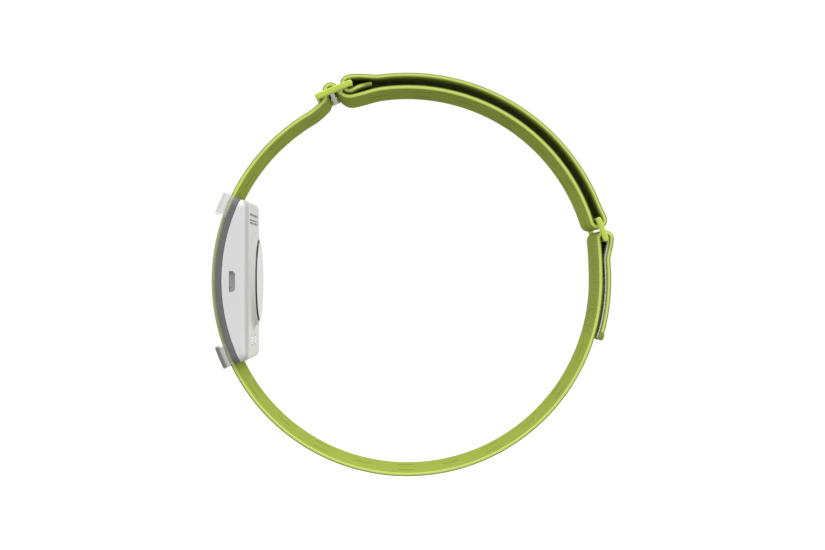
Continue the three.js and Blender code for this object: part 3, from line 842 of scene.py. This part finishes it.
# cross ribs on the inner layer, beside the tail
ribs = {
    "from": -17, "to": 12.9, "x": (60, 66), "innerLayer": 65.5, "spacing": 0.8, "wander": 0.016,
    "size": (31.2, 0.46, 0.26),
}
stitches = {
    "size": (1.7, 0.42, 0.34), "pitch": 2.3, "sewnX": (-16.5, -12.0), "sewnAbove": 67.5,
    "sewnSpacing": 1.9, "sewnRows": 13, "tailSkip": 6, "tailShort": 3.2, "edgeSpacing": 28.6,
    "crossRows": 12, "crossSpacing": 50,
}


def makeStrapDetails():
    k, s = ribs, stitches
    surface = offsetRoute(loopRoute, half)
    beside = [p for p in surface if k["x"][0] < p[0] < k["x"][1]
              and math.hypot(*p) < k["innerLayer"]
              and k["from"] <= math.degrees(math.atan2(p[1], p[0])) <= k["to"]]
    beside.sort(key=lambda p: math.atan2(p[1], p[0]))
    rib = capsule("rib", *k["size"], alongX=False)
    ribYarn = yarn("ribYarn", (0.36, 0.45, 0.05))
    piece = alongPath("cross_ribs", beside, rib, ribYarn, k["spacing"], wander=k["wander"])
    place(piece, None, "webbing", "strap")

    thread = yarn("sewingThread", (0.42, 0.52, 0.08))
    start = [p for p in surface if s["sewnX"][0] < p[0] < s["sewnX"][1] and p[1] > s["sewnAbove"]]
    stitch = capsule("stitch", *s["size"], alongX=False)
    sewn = alongPath("sewn_end_stitches", start, stitch, thread, s["sewnSpacing"], s["sewnRows"],
                     s["pitch"])
    place(sewn, None, "webbing", "strap")

    outer = offsetRoute(tailRoute(0, s["tailShort"]), half)[s["tailSkip"]:]
    stitch = capsule("stitch", *s["size"])
    edge = alongPath("tape_edge_stitches", outer, stitch, thread, s["pitch"], 2, s["edgeSpacing"])
    place(edge, None, "webbing", "tail")
    stitch = capsule("stitch", *s["size"], alongX=False)
    cross = alongPath("tape_cross_stitches", outer[-3:], stitch, thread, s["crossSpacing"],
                      s["crossRows"],
                      s["pitch"])
    place(cross, None, "webbing", "tail")


# The tape and the patch share their thickness between a flat base and the hooks or curls on it.
hooks = {
    "base": 0.7, "baseOff": 0.15, "edge": 0.12, "capLap": (0.25, 0.55, 0.9), "capDrop": 0.16,
    "width": 0.3, "corners": (0.5, 1.76, 3.01, 4.27, 5.53),
    "stem": ((1.0, 0.0), (0.6, 0.12), (1.25, 0.22), (0.5, 0.3)), "skip": 3, "short": 1.2,
    "spacing": 1.05, "rows": 29, "turn": 3.1, "seed": 5,
}
pile = {"base": 0.6, "baseAt": 0.3, "edge": 0.08, "curlAt": 0.5, "inset": 0.5, "thread": 0.04,
        "corners": (0, 2.1, 4.2), "spacing": 0.7, "rows": 40, "rowSpacing": 0.76, "turn": 3.1,
        "seed": 9,
        "curl": ((-0.3, -0.12, 0.0), (-0.2, 0.0, 0.2), (0.05, 0.08, 0.26), (0.25, 0.02, 0.16),
                 (0.3, -0.1, 0.0))}


def makeHookTape():
    k = hooks
    nylon = yarn("hookNylon", (0.86, 0.85, 0.78))
    inside = half + tail["seam"] + tail["tape"] / 2
    section = webbingSection(tail["fasteningWidth"], tail["tape"] * k["base"], k["edge"], 6, 4)
    middle = tailRoute(inside - tail["tape"] * k["baseOff"], 0.1)[1:]
    x, z = middle[-1]  # its end goes on under the moulded end
    middle += [polar(math.hypot(x, z) - k["capDrop"], math.degrees(math.atan2(z, x)) - capSpan * t)
               for t in k["capLap"]]
    tape, _ = sweepWebbing("hook_tape_base", middle, section)
    place(tape, nylon, "hook_tape", "tail", "hook_tape")
    radius = 0.5 * k["width"]
    stem = loft("hook", [[(radius * size * math.cos(a), radius * size * math.sin(a), -h)
                          for a in k["corners"]]
                         for size, h in k["stem"]], capEnds=True)
    under = tailRoute(inside, k["short"])[k["skip"]:]
    field = alongPath("hook_field", under, stem, nylon, k["spacing"], k["rows"], k["spacing"],
                      k["turn"], k["seed"])
    place(field, None, "hook_tape", "tail")


def makeLoopPatch():
    k = pile
    green = yarn("loopPile", (0.17, 0.21, 0.03))
    base = (origin, patchInner + tail["patch"] * k["baseAt"], tail["end"], tail["patchTop"])
    section = webbingSection(tail["fasteningWidth"], tail["patch"] * k["base"], k["edge"], 6, 4)
    patch, _ = sweepWebbing("loop_patch_base", sampleArc(base), section)
    place(patch, green, "loop_pile", "strap", "loop_patch")
    curl = loft("curl", [[(x + k["thread"] * math.cos(a), y, h + k["thread"] * math.sin(a))
                          for a in k["corners"]]
                         for x, y, h in k["curl"]], capEnds=True)
    top = sampleArc((origin, patchInner + tail["patch"] * k["curlAt"],
                     tail["patchTop"] - k["inset"],
                     tail["end"] + k["inset"]))
    field = alongPath("loop_pile_field", top, curl, green, k["spacing"], k["rows"], k["rowSpacing"],
                      k["turn"],
                      k["seed"])
    place(field, None, "loop_pile", "strap")


endCap = {"edge": 0.55, "wider": 0.3, "ends": [0.55, 0.86, 0.97], "narrowing": 0.02, "step": 0.4}


def makeEndCap():
    k = endCap
    moulding = mouldedPlastic("capRubber", (0.24, 0.31, 0.055), 0.6, 0.02, 4.0)
    section = webbingSection(loopSize["width"] + k["wider"], tail["capThickness"], k["edge"], 8, 10)
    line = sampleArc((origin, tailRadius, tail["end"] + capSpan, tail["end"]), k["step"])
    sizes = k["ends"] + [1.0] * (len(line) - 2 * len(k["ends"])) + k["ends"][::-1]
    rings = [[(x + nx * n * size, y * (1 - k["narrowing"] * (1 - size)), z + nz * n * size)
              for y, n in section]
             for (x, z), (nx, nz), size in zip(line, sideNormals(line), sizes)]
    piece = loft("tail_end_moulding", rings, capEnds=True, sharpAngle=60)
    place(piece, moulding, "end_cap", "tail", "tail_end_cap")


def stadiumOutline(a, b, width, steps=10):
    angle = math.degrees(math.atan2(b[1] - a[1], b[0] - a[0]))
    return ([polar(width / 2, angle - 90 + 180 * i / steps, b) for i in range(steps + 1)]
            + [polar(width / 2, angle + 90 + 180 * i / steps, a) for i in range(steps + 1)])


def placedOutline(centre, length, height, radius, cornerSteps, sideSteps, degrees=0):
    c, s = math.cos(math.radians(degrees)), math.sin(math.radians(degrees))
    return [(centre[0] + x * c - y * s, centre[1] + x * s + y * c)
            for x, y in roundedOutline(length / 2, height / 2, radius, cornerSteps, sideSteps)]


def crossBar(name, at, radius, reach):
    return prism(name, [polar(radius, 15 * i, at) for i in range(24)], -reach, reach)


def railPair(outline):
    rails = [prism("rail", outline, low, low + adjuster["railThickness"])
             for low in (-railOuter, railInner)]
    return [bevelled(rail, adjuster["railEdge"], 4, 50) for rail in rails]


def makeAdjuster(enamel, steel):
    a = adjuster
    centre = ((leftBar[0] + rightBar[0]) / 2, (leftBar[1] + rightBar[1]) / 2)
    outline = placedOutline(centre, a["barSpacing"] + a["railWidth"], a["railWidth"],
                            a["railCorner"], 5, 4,
                            a["tilt"])
    bars = [crossBar("bar", at, a["barRadius"], railInner + a["barLap"])
            for at in (leftBar, rightBar)]
    frameMoulding = moulded("slider_moulding", railPair(outline) + bars, a["voxel"], 3)
    place(frameMoulding, enamel, "green_hardware", "slider", "slider_frame")
    drop = (a["railWidth"] - a["middleHeight"]) / 2 - a["middleShort"]
    at = shifted(middleBar, railUp, -drop)
    outline = placedOutline(at, a["middleWidth"], a["middleHeight"], a["middleCorner"], 5, 4,
                            a["tilt"])
    reach = railInner - a["middleShort"]
    flat = prism("slider_middle_bar", outline, -reach, reach)
    place(flat, steel, "steel", "slider", "slider_center_bar")


def makeRing(enamel):
    bars = [crossBar("bar", at, ring["barRadius"], railInner + adjuster["barLap"])
            for at in (upperBar, lowerBar)]
    sides = railPair(stadiumOutline(upperBar, lowerBar, ring["sideWidth"]))
    piece = moulded("webbing_ring_moulding", sides + bars, ring["voxel"], 3)
    place(piece, enamel, "green_hardware", "ring", "webbing_ring")


def podRing(halfY, halfZ, radius, depthOf):
    return [(depthOf(z), y, z) for y, z in roundedOutline(halfY, halfZ, radius)]


def circleLike(outline, radius, x):
    return [(x, radius * y / math.hypot(y, z), radius * z / math.hypot(y, z))
            for _, y, z in outline]


housing = {
    "bossBase": 15.6, "bossTop": 14.7, "bossHeight": 1.7, "bossFillet": 1.5, "filletReach": 1.25,
    "filletRise": 0.62, "filletPower": 2.2, "bossLip": ((0.22, -0.2), (0.1, -0.06), (-0.08, 0.0)),
    "bore": 13.95, "boreEdge": 0.08, "ledgeDepth": 0.6, "ledgeRadius": 12.15, "edgeEasing": 2.5,
    "socketFromSkin": 5.2, "socketCentre": -0.3, "socketWidth": 6.85, "socketHeight": 2.0,
    "socketChamfer": 0.8, "socketWall": 0.25, "socketRoom": 0.12, "padSpacing": 12.0,
    "padLength": 5.0, "padHeight": 2.9, "padCorner": 0.4, "padRoom": 0.25, "padPocket": 0.9,
    "padPocketCorner": 0.55, "padProud": 0.3, "padThickness": 1.1, "padEdge": 0.07,
}


def padOutline(side, room, corner, cornerSteps, sideSteps):
    # halfway between the boss and the end of the skin face
    h = housing
    y = side * h["padSpacing"] / 2
    z = -(h["bossBase"] + skinEnd - pod["endEdge"]) / 2
    return placedOutline((y, z), h["padLength"] + 2 * room, h["padHeight"] + 2 * room, corner,
                         cornerSteps,
                         sideSteps)


def blendRings(low, high, t):
    return [tuple(a + (b - a) * t for a, b in zip(p, q)) for p, q in zip(low, high)]


def housingRings():
    h, halfPod, corner, wall = housing, pod["width"] / 2, pod["corner"], pod["wall"]
    seamEnd = seamRadius * math.sin(math.radians(podAngle))

    def onSeam(z):
        return -math.sqrt(seamRadius ** 2 - z ** 2)

    slope = (seamEnd - skinEnd) / (skinX - onSeam(seamEnd))
    sideEdge, endEdge = pod["edge"], pod["endEdge"]
    seamRing = podRing(halfPod, seamEnd, corner, onSeam)

    def edgeRing(angle):
        # round over the skin face's edges, wider along its sides than across its ends
        s, c = math.sin(angle), 1 - math.cos(angle)
        along, across = endEdge * c, sideEdge * c
        made = []
        for y, z in roundedOutline(halfPod - across, skinEnd + slope * endEdge * (1 - s) - along,
                                   corner - along):
            sideways = min(1.0, max(0.0, (skinEnd - abs(z)) / (h["edgeEasing"] * corner)))
            edge = endEdge + (sideEdge - endEdge) * sideways ** 0.5
            made.append((skinX - edge * (1 - s), y, z))
        return made

    shoulder = edgeRing(0)
    rings = [seamRing] + [blendRings(seamRing, shoulder, t) for t in (0.02, 0.33, 0.66)]
    edgeSteps = 10
    rings += [edgeRing(math.radians(90 / edgeSteps * i)) for i in range(edgeSteps + 1)]
    flat = rings[-1]
    start = h["bossBase"] + h["bossFillet"]
    rings += [blendRings(flat, circleLike(flat, start, skinX), t) for t in (0.3, 0.6, 0.85)]
    filletReach, filletRise = h["bossFillet"] * h["filletReach"], h["filletRise"] * h["bossHeight"]
    rise = [(start, 0.0)] + [(start - filletReach * t, filletRise * t ** h["filletPower"])
                             for t in (0.2, 0.4, 0.6, 0.8, 1.0)]
    rise += [(h["bossTop"] + dr, h["bossHeight"] + dx) for dr, dx in h["bossLip"]]
    rise += [(h["bore"] + h["boreEdge"], h["bossHeight"]),
             (h["bore"], h["bossHeight"] - h["boreEdge"]),
             (h["bore"], -h["ledgeDepth"]), (h["ledgeRadius"], -h["ledgeDepth"]),
             (h["ledgeRadius"], -wall)]
    rings += [circleLike(flat, radius, skinX + x) for radius, x in rise]
    inside = skinX - wall
    rings.append(podRing(halfPod - wall, skinEnd - wall, corner - wall, lambda z: inside))
    rings.append(podRing(halfPod - wall, seamEnd - wall, corner - wall, onSeam))
    return rings


def socketOutline(grow):
    h = housing
    x, zc, w = skinX - h["socketFromSkin"], h["socketCentre"], h["socketWidth"] / 2 + grow
    low, high = x - h["socketHeight"] / 2 - grow, x + h["socketHeight"] / 2 + grow
    c = h["socketChamfer"]
    return [(low, zc - w), (high - c, zc - w), (high, zc - w + c), (high, zc + w - c),
            (high - c, zc + w),
            (low, zc + w)]


def makeHousing(white):
    h = housing
    piece = loft("pod_housing", housingRings(), closedTube=True)
    front = -pod["width"] / 2
    inside = front + pod["wall"]
    cutters = [prism("socketCut", socketOutline(0), front - 1, inside + 0.5),
               prism("socketSeat", socketOutline(h["socketWall"] + h["socketRoom"]), front + 0.5,
                     inside + 0.6)]
    cutters += [prism("padCut", padOutline(side, h["padRoom"], h["padPocketCorner"], 4, 2),
                      skinX - h["padPocket"],
                      skinX + 1, axis="X") for side in (-1, 1)]
    cut(piece, cutters)
    place(piece, white, "white_plastic", "pod", "sensor_housing")


def makeCradle(grey):
    edge, halfPod = pod["cradleEdge"], pod["width"] / 2
    softer = 0.3 * edge
    inward = (0.04, 0.3, 0.6, 0.85)  # sizes of the rings that close each face

    def shell(radius, shrink, inset=0.0):
        end = radius * math.sin(math.radians(podAngle)) - inset
        outline = roundedOutline(halfPod - inset, end, pod["corner"] - inset)
        return [(-math.sqrt(radius ** 2 - (z * shrink) ** 2), y * shrink, z * shrink)
                for y, z in outline]

    rings = [shell(cradleInner, size) for size in inward]
    rings += [shell(cradleInner, 1, edge), shell(cradleInner + softer, 1, softer),
              shell(cradleInner + edge, 1),
              shell(cradleOuter - edge, 1), shell(cradleOuter - softer, 1, softer),
              shell(cradleOuter, 1, edge)]
    rings += [shell(cradleOuter, size) for size in inward[::-1]]
    piece = loft("pod_cradle", rings, capEnds=True)
    place(piece, grey, "grey_plastic", "pod", "back_cradle")


bridge = {
    "wallLength": 7.4, "plateLength": 6.7, "headroom": 0.8, "plate": 1.6, "wall": 2.0,
    "round": 0.4, "endInset": 0.2,
}
strapTop = loopSize["innerRadius"] + loopSize["thickness"]
plateFrom = strapTop + bridge["headroom"]


def makeBridge(name, side, clear, node):
    # two walls and the plate that joins them, as blocks of one curved grid
    b = bridge
    outer = railInner + b["wall"]
    end = podAngle - b["endInset"]

    def angleAt(length):
        return 180 - side * (end - math.degrees(length / cradleOuter))

    steps = 4
    anglesOf = [angleAt(b["plateLength"] * i / steps)
                for i in range(steps + 1)] + [angleAt(b["wallLength"])]
    across = [-outer, -railInner, railInner, outer]
    radii = [cradleOuter + pod["seam"], plateFrom, plateFrom + b["plate"]]
    filled = {(y, r, a) for y in (0, 2) for r in (0, 1) for a in range(steps + 1)}
    filled |= {(1, 1, a) for a in range(steps)}
    index, points, faces = {}, [], []

    def corner(y, r, a):
        if (y, r, a) not in index:
            x, z = polar(radii[r], anglesOf[a])
            index[(y, r, a)] = len(points)
            points.append((x, across[y], z))
        return index[(y, r, a)]

    for y, r, a in filled:
        sides = {(-1, 0, 0): [(0, 0, 0), (0, 1, 0), (0, 1, 1), (0, 0, 1)],
                 (1, 0, 0): [(1, 0, 0), (1, 0, 1), (1, 1, 1), (1, 1, 0)],
                 (0, -1, 0): [(0, 0, 0), (0, 0, 1), (1, 0, 1), (1, 0, 0)],
                 (0, 1, 0): [(0, 1, 0), (1, 1, 0), (1, 1, 1), (0, 1, 1)],
                 (0, 0, -1): [(0, 0, 0), (1, 0, 0), (1, 1, 0), (0, 1, 0)],
                 (0, 0, 1): [(0, 0, 1), (0, 1, 1), (1, 1, 1), (1, 0, 1)]}
        for (dy, dr, da), corners in sides.items():
            if (y + dy, r + dr, a + da) not in filled:
                faces.append(tuple(corner(y + i, r + j, a + k) for i, j, k in corners))
    piece = outwards(makeMesh(name, points, faces))
    bevelled(piece, b["round"], 3, 30)
    place(piece, clear, "clear_plastic", "pod", node)


window = {
    "radius": 13.15, "dome": 1.3, "thickness": 1.3, "proud": 0.05, "wall": 0.6, "printed": 0.12,
    "seat": 0.1, "lipWidth": 2, "domeSteps": 16, "gasketFrom": 0.06, "gasketTo": 0.72,
    "gasketEdge": (0.15, 0.12),
}


def makeWindow(milky, rubber):
    w, h = window, housing
    ledge = skinX - h["ledgeDepth"] + w["seat"]
    rim = skinX + h["bossHeight"] - w["seat"]
    wallTop = rim + w["wall"]  # the lens stands on a dark upright edge
    rise = w["dome"] - w["wall"]
    sphere = (w["radius"] ** 2 + rise ** 2) / (2 * rise)
    radii = [w["radius"] * (1 - i / w["domeSteps"]) for i in range(w["domeSteps"])]
    dome = [(r, wallTop + math.sqrt(sphere ** 2 - r ** 2) - (sphere - rise)) for r in radii]
    inner = w["radius"] - w["lipWidth"]
    profile = [(0, rim - w["thickness"]), (inner, rim - w["thickness"]), (inner, ledge),
               (w["radius"] - 0.1, ledge),
               (w["radius"], ledge + 0.1)] + dome + [(0, rim + w["dome"])]
    place(turned("window_lens", profile), milky, "window", "pod", "optical_window")
    a, b = w["radius"] + w["gasketFrom"], w["radius"] + w["gasketTo"]
    across, down = w["gasketEdge"]
    top = skinX + h["bossHeight"] + w["proud"]
    seal = turned("window_seal_ring", [(a, ledge), (b, ledge), (b, top - down), (b - across, top),
                                       (a + across, top), (a, top - down)])
    place(seal, rubber, "gasket_rubber", "pod", "window_gasket")


def makeContacts(contactMetal):
    h = housing
    top = skinX + h["padProud"]
    for side, name in ((-1, "front"), (1, "back")):
        outline = padOutline(side, 0, h["padCorner"], 5, 3)
        pad = prism("charging_contact_" + name, outline, top - h["padThickness"], top, axis="X")
        bevelled(pad, h["padEdge"], 2, 60)
        place(pad, contactMetal, "contact_metal", "pod", "contact_pad_" + name)


tongue = {
    "mouth": 0.6, "back": 0.8, "end": 4.6, "width": 3.7, "thick": 0.6, "length": 0.6, "root": 0.5,
    "off": -0.25, "corner": 0.12, "fit": 0.05,
}


def makeSocket(insulator):
    # the socket's insulator: a back plate with the tongue that carries its contacts
    k, h = tongue, housing
    front = -pod["width"] / 2 + k["mouth"]
    back = front + k["back"]
    plate = prism("plate", socketOutline(-k["fit"]), back, front + k["end"])
    x = skinX - h["socketFromSkin"] + k["off"] - k["thick"] / 2
    outline = placedOutline((x, h["socketCentre"]), k["thick"], k["width"], k["corner"], 3, 2)
    blade = prism("blade", outline, back - k["length"], back + k["root"])
    place(joinObjects("socket_insulator", [plate, blade]), insulator, "black_plastic", "pod",
          "socket_tongue")


dashes = {
    "rows": ((22.2, 0.8), (20.4, 0.55), (19.4, 0.75)), "reach": 14.5, "length": (0.7, 2.4),
    "spread": (0.5, 1.5), "gap": 0.7, "corner": 0.1, "sunk": 0.05, "raise": 0.015,
}


def makePrint(ink):
    # rows of plain printed dashes on the skin face, with no lettering
    d, bars = dashes, []
    for z, height in d["rows"]:
        y = -d["reach"]
        while y < d["reach"]:
            length = random.uniform(*d["length"])
            outline = placedOutline((y + length / 2, z), length, height, d["corner"], 3, 1)
            bars.append(prism("bar", outline, skinX - d["sunk"], skinX + d["raise"], axis="X"))
            y += length + random.uniform(*d["spread"]) * d["gap"]
    place(joinObjects("printed_bars", bars), ink, "gasket_rubber", "pod")


def paintInside(finishes):
    for node, finish in finishes.items():
        paint(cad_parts[node], finish)


makeWebbing()
makeStrapDetails()
makeHookTape()
makeLoopPatch()
makeEndCap()
print("tail made")
enamel = mouldedPlastic("greenEnamel", (0.61, 0.755, 0.09), 0.42, 0.004, 3.0, coat=0.15)
steel = metal("brightSteel", (0.58, 0.58, 0.58), 0.32)
makeAdjuster(enamel, steel)
makeRing(enamel)
print("adjuster and ring made")
# the second colour is the painted shade grey for the fillet band and the boss
white = shelledPlastic("whiteHousing", (0.80, 0.80, 0.80), (0.56, 0.56, 0.56))
grey = mouldedPlastic("greyCradle", (0.165, 0.165, 0.165), 0.55, 0.01, 7.0)
# painted shade: the lower bridge is a darker shaded copy of the same clear plastic
clearUpper = clearPlastic("clearUpperBridge", plate=0.13, shade=0.6)
clearLowerShaded = clearPlastic("clearLowerBridge", plate=0.5, shade=0.13)
rubber = mouldedPlastic("gasketRubber", (0.085, 0.085, 0.08), 0.7, 0.01, 5.0)
black = mouldedPlastic("blackResin", (0.02, 0.02, 0.021), 0.5, 0.006, 6.0)
makeHousing(white)
makeCradle(grey)
makeBridge("clear_bridge_upper", 1, clearUpper, "strap_bridge_upper")
makeBridge("clear_bridge_lower", -1, clearLowerShaded, "strap_bridge_lower")
makeWindow(milkyWindow("milkyLens", (0.86, 0.86, 0.86), (0.06, 0.06, 0.058),
                       window["radius"] - window["printed"]), rubber)
makeContacts(metal("contactPlating", (0.98, 0.97, 0.95), 0.08))
makeSocket(mouldedPlastic("socketInsulator", (0.5, 0.5, 0.5), 0.5))
makePrint(mouldedPlastic("greyInk", (0.12, 0.12, 0.12), 0.6))
ledResin = mouldedPlastic("ledResin", (0.85, 0.84, 0.55), 0.2, 0.004, 5.0, coat=0.5)
paintInside({
    "housing_seal": rubber, "light_baffle": black, "photodiode": black, "radio_chip": black,
    "charging_chip": black, "led_upper": ledResin, "led_lower": ledResin,
    "sensor_board": circuitMask("boardMask", (0.02, 0.16, 0.07), (0.05, 0.26, 0.12)),
    "battery_cell": metal("batteryFoil", (0.6, 0.61, 0.63), 0.35),
    "socket_shell": metal("socketSteel", (0.72, 0.72, 0.72), 0.4),
})
print("pod made")


studio = {
    "floorBelow": 62.0, "floorSize": 4.0, "white": 1.02, "low": 0.41, "side": 0.8, "high": 1.45,
    "right": 0.3, "sideBand": (-0.6, 0.1), "highBand": (0.1, 0.9), "rightBand": (0.2, 0.95),
    "lampAt": (0.15, -0.3, 0.9), "lampSize": 0.8, "lampPower": 1.2, "cameraFromStrap": 587.0,
    "focal": 76.84, "sensor": 36.0, "shiftX": 0.0063, "shiftY": 0.0068, "near": 0.01, "far": 20.0,
}


def makeFloor():
    s = studio
    floorZ = cadBox[0].z - s["floorBelow"] * mm
    r = s["floorSize"] / 2
    mesh = bpy.data.meshes.new("studioFloor")
    mesh.from_pydata([(-r, -r, floorZ), (r, -r, floorZ), (r, r, floorZ), (-r, r, floorZ)], [],
                     [(0, 1, 2, 3)])
    floor = newObject("studioFloor", mesh)
    paint(floor, mouldedPlastic("floorPaint", (0.93, 0.93, 0.93), 0.9, 0.0, 1.0, shade=0.01))
    floor.visible_diffuse = False
    floor.visible_glossy = False


def makeWorld(scene):
    # the camera sees plain paper; the room's light is brighter above and to the right
    s = studio
    world = bpy.data.worlds.new("studioWorld")
    world.use_nodes = True
    scene.world = world
    tree = Tree(world.node_tree)
    tree.nodes.clear()
    across, _, height = tree.axes(tree.node("ShaderNodeTexCoord", output=0))
    level = (s["low"] + (s["side"] - s["low"]) * tree.smooth(height, *s["sideBand"])
             + (s["high"] - s["side"]) * tree.smooth(height, *s["highBand"])
             + s["right"] * tree.smooth(across, *s["rightBand"]))
    glow = tree.combined({0: level, 1: level, 2: level})
    room = tree.node("ShaderNodeBackground", {"Color": glow})
    paper = tree.node("ShaderNodeBackground", {"Color": rgba((1.0, 1.0, 1.0), s["white"])})
    shown = tree.node("ShaderNodeMixShader",
                      {0: tree.node("ShaderNodeLightPath"), 1: room, 2: paper})
    tree.node("ShaderNodeOutputWorld", {"Surface": shown})


def makeLampAndCamera(scene):
    s = studio
    light = bpy.data.lights.new("topLight", "AREA")
    light.shape, light.energy = "RECTANGLE", s["lampPower"]
    light.size = light.size_y = s["lampSize"]
    lamp = newObject("topLight", light)
    lamp.location = s["lampAt"]
    lamp.rotation_euler = (-Vector(s["lampAt"])).to_track_quat("-Z", "Y").to_euler()

    camera = bpy.data.cameras.new("camera")
    camera.lens, camera.sensor_width = s["focal"], s["sensor"]
    camera.shift_x, camera.shift_y = s["shiftX"], s["shiftY"]
    camera.clip_start, camera.clip_end = s["near"], s["far"]
    viewer = newObject("camera", camera)
    viewer.location = (0, -(halfWidth + s["cameraFromStrap"]) * mm, 0)
    viewer.rotation_euler = (math.radians(90), 0, 0)
    scene.camera = viewer


studioScene = bpy.context.scene
makeFloor()
makeWorld(studioScene)
makeLampAndCamera(studioScene)
studioScene.view_settings.view_transform = "Standard"
print("studio made")
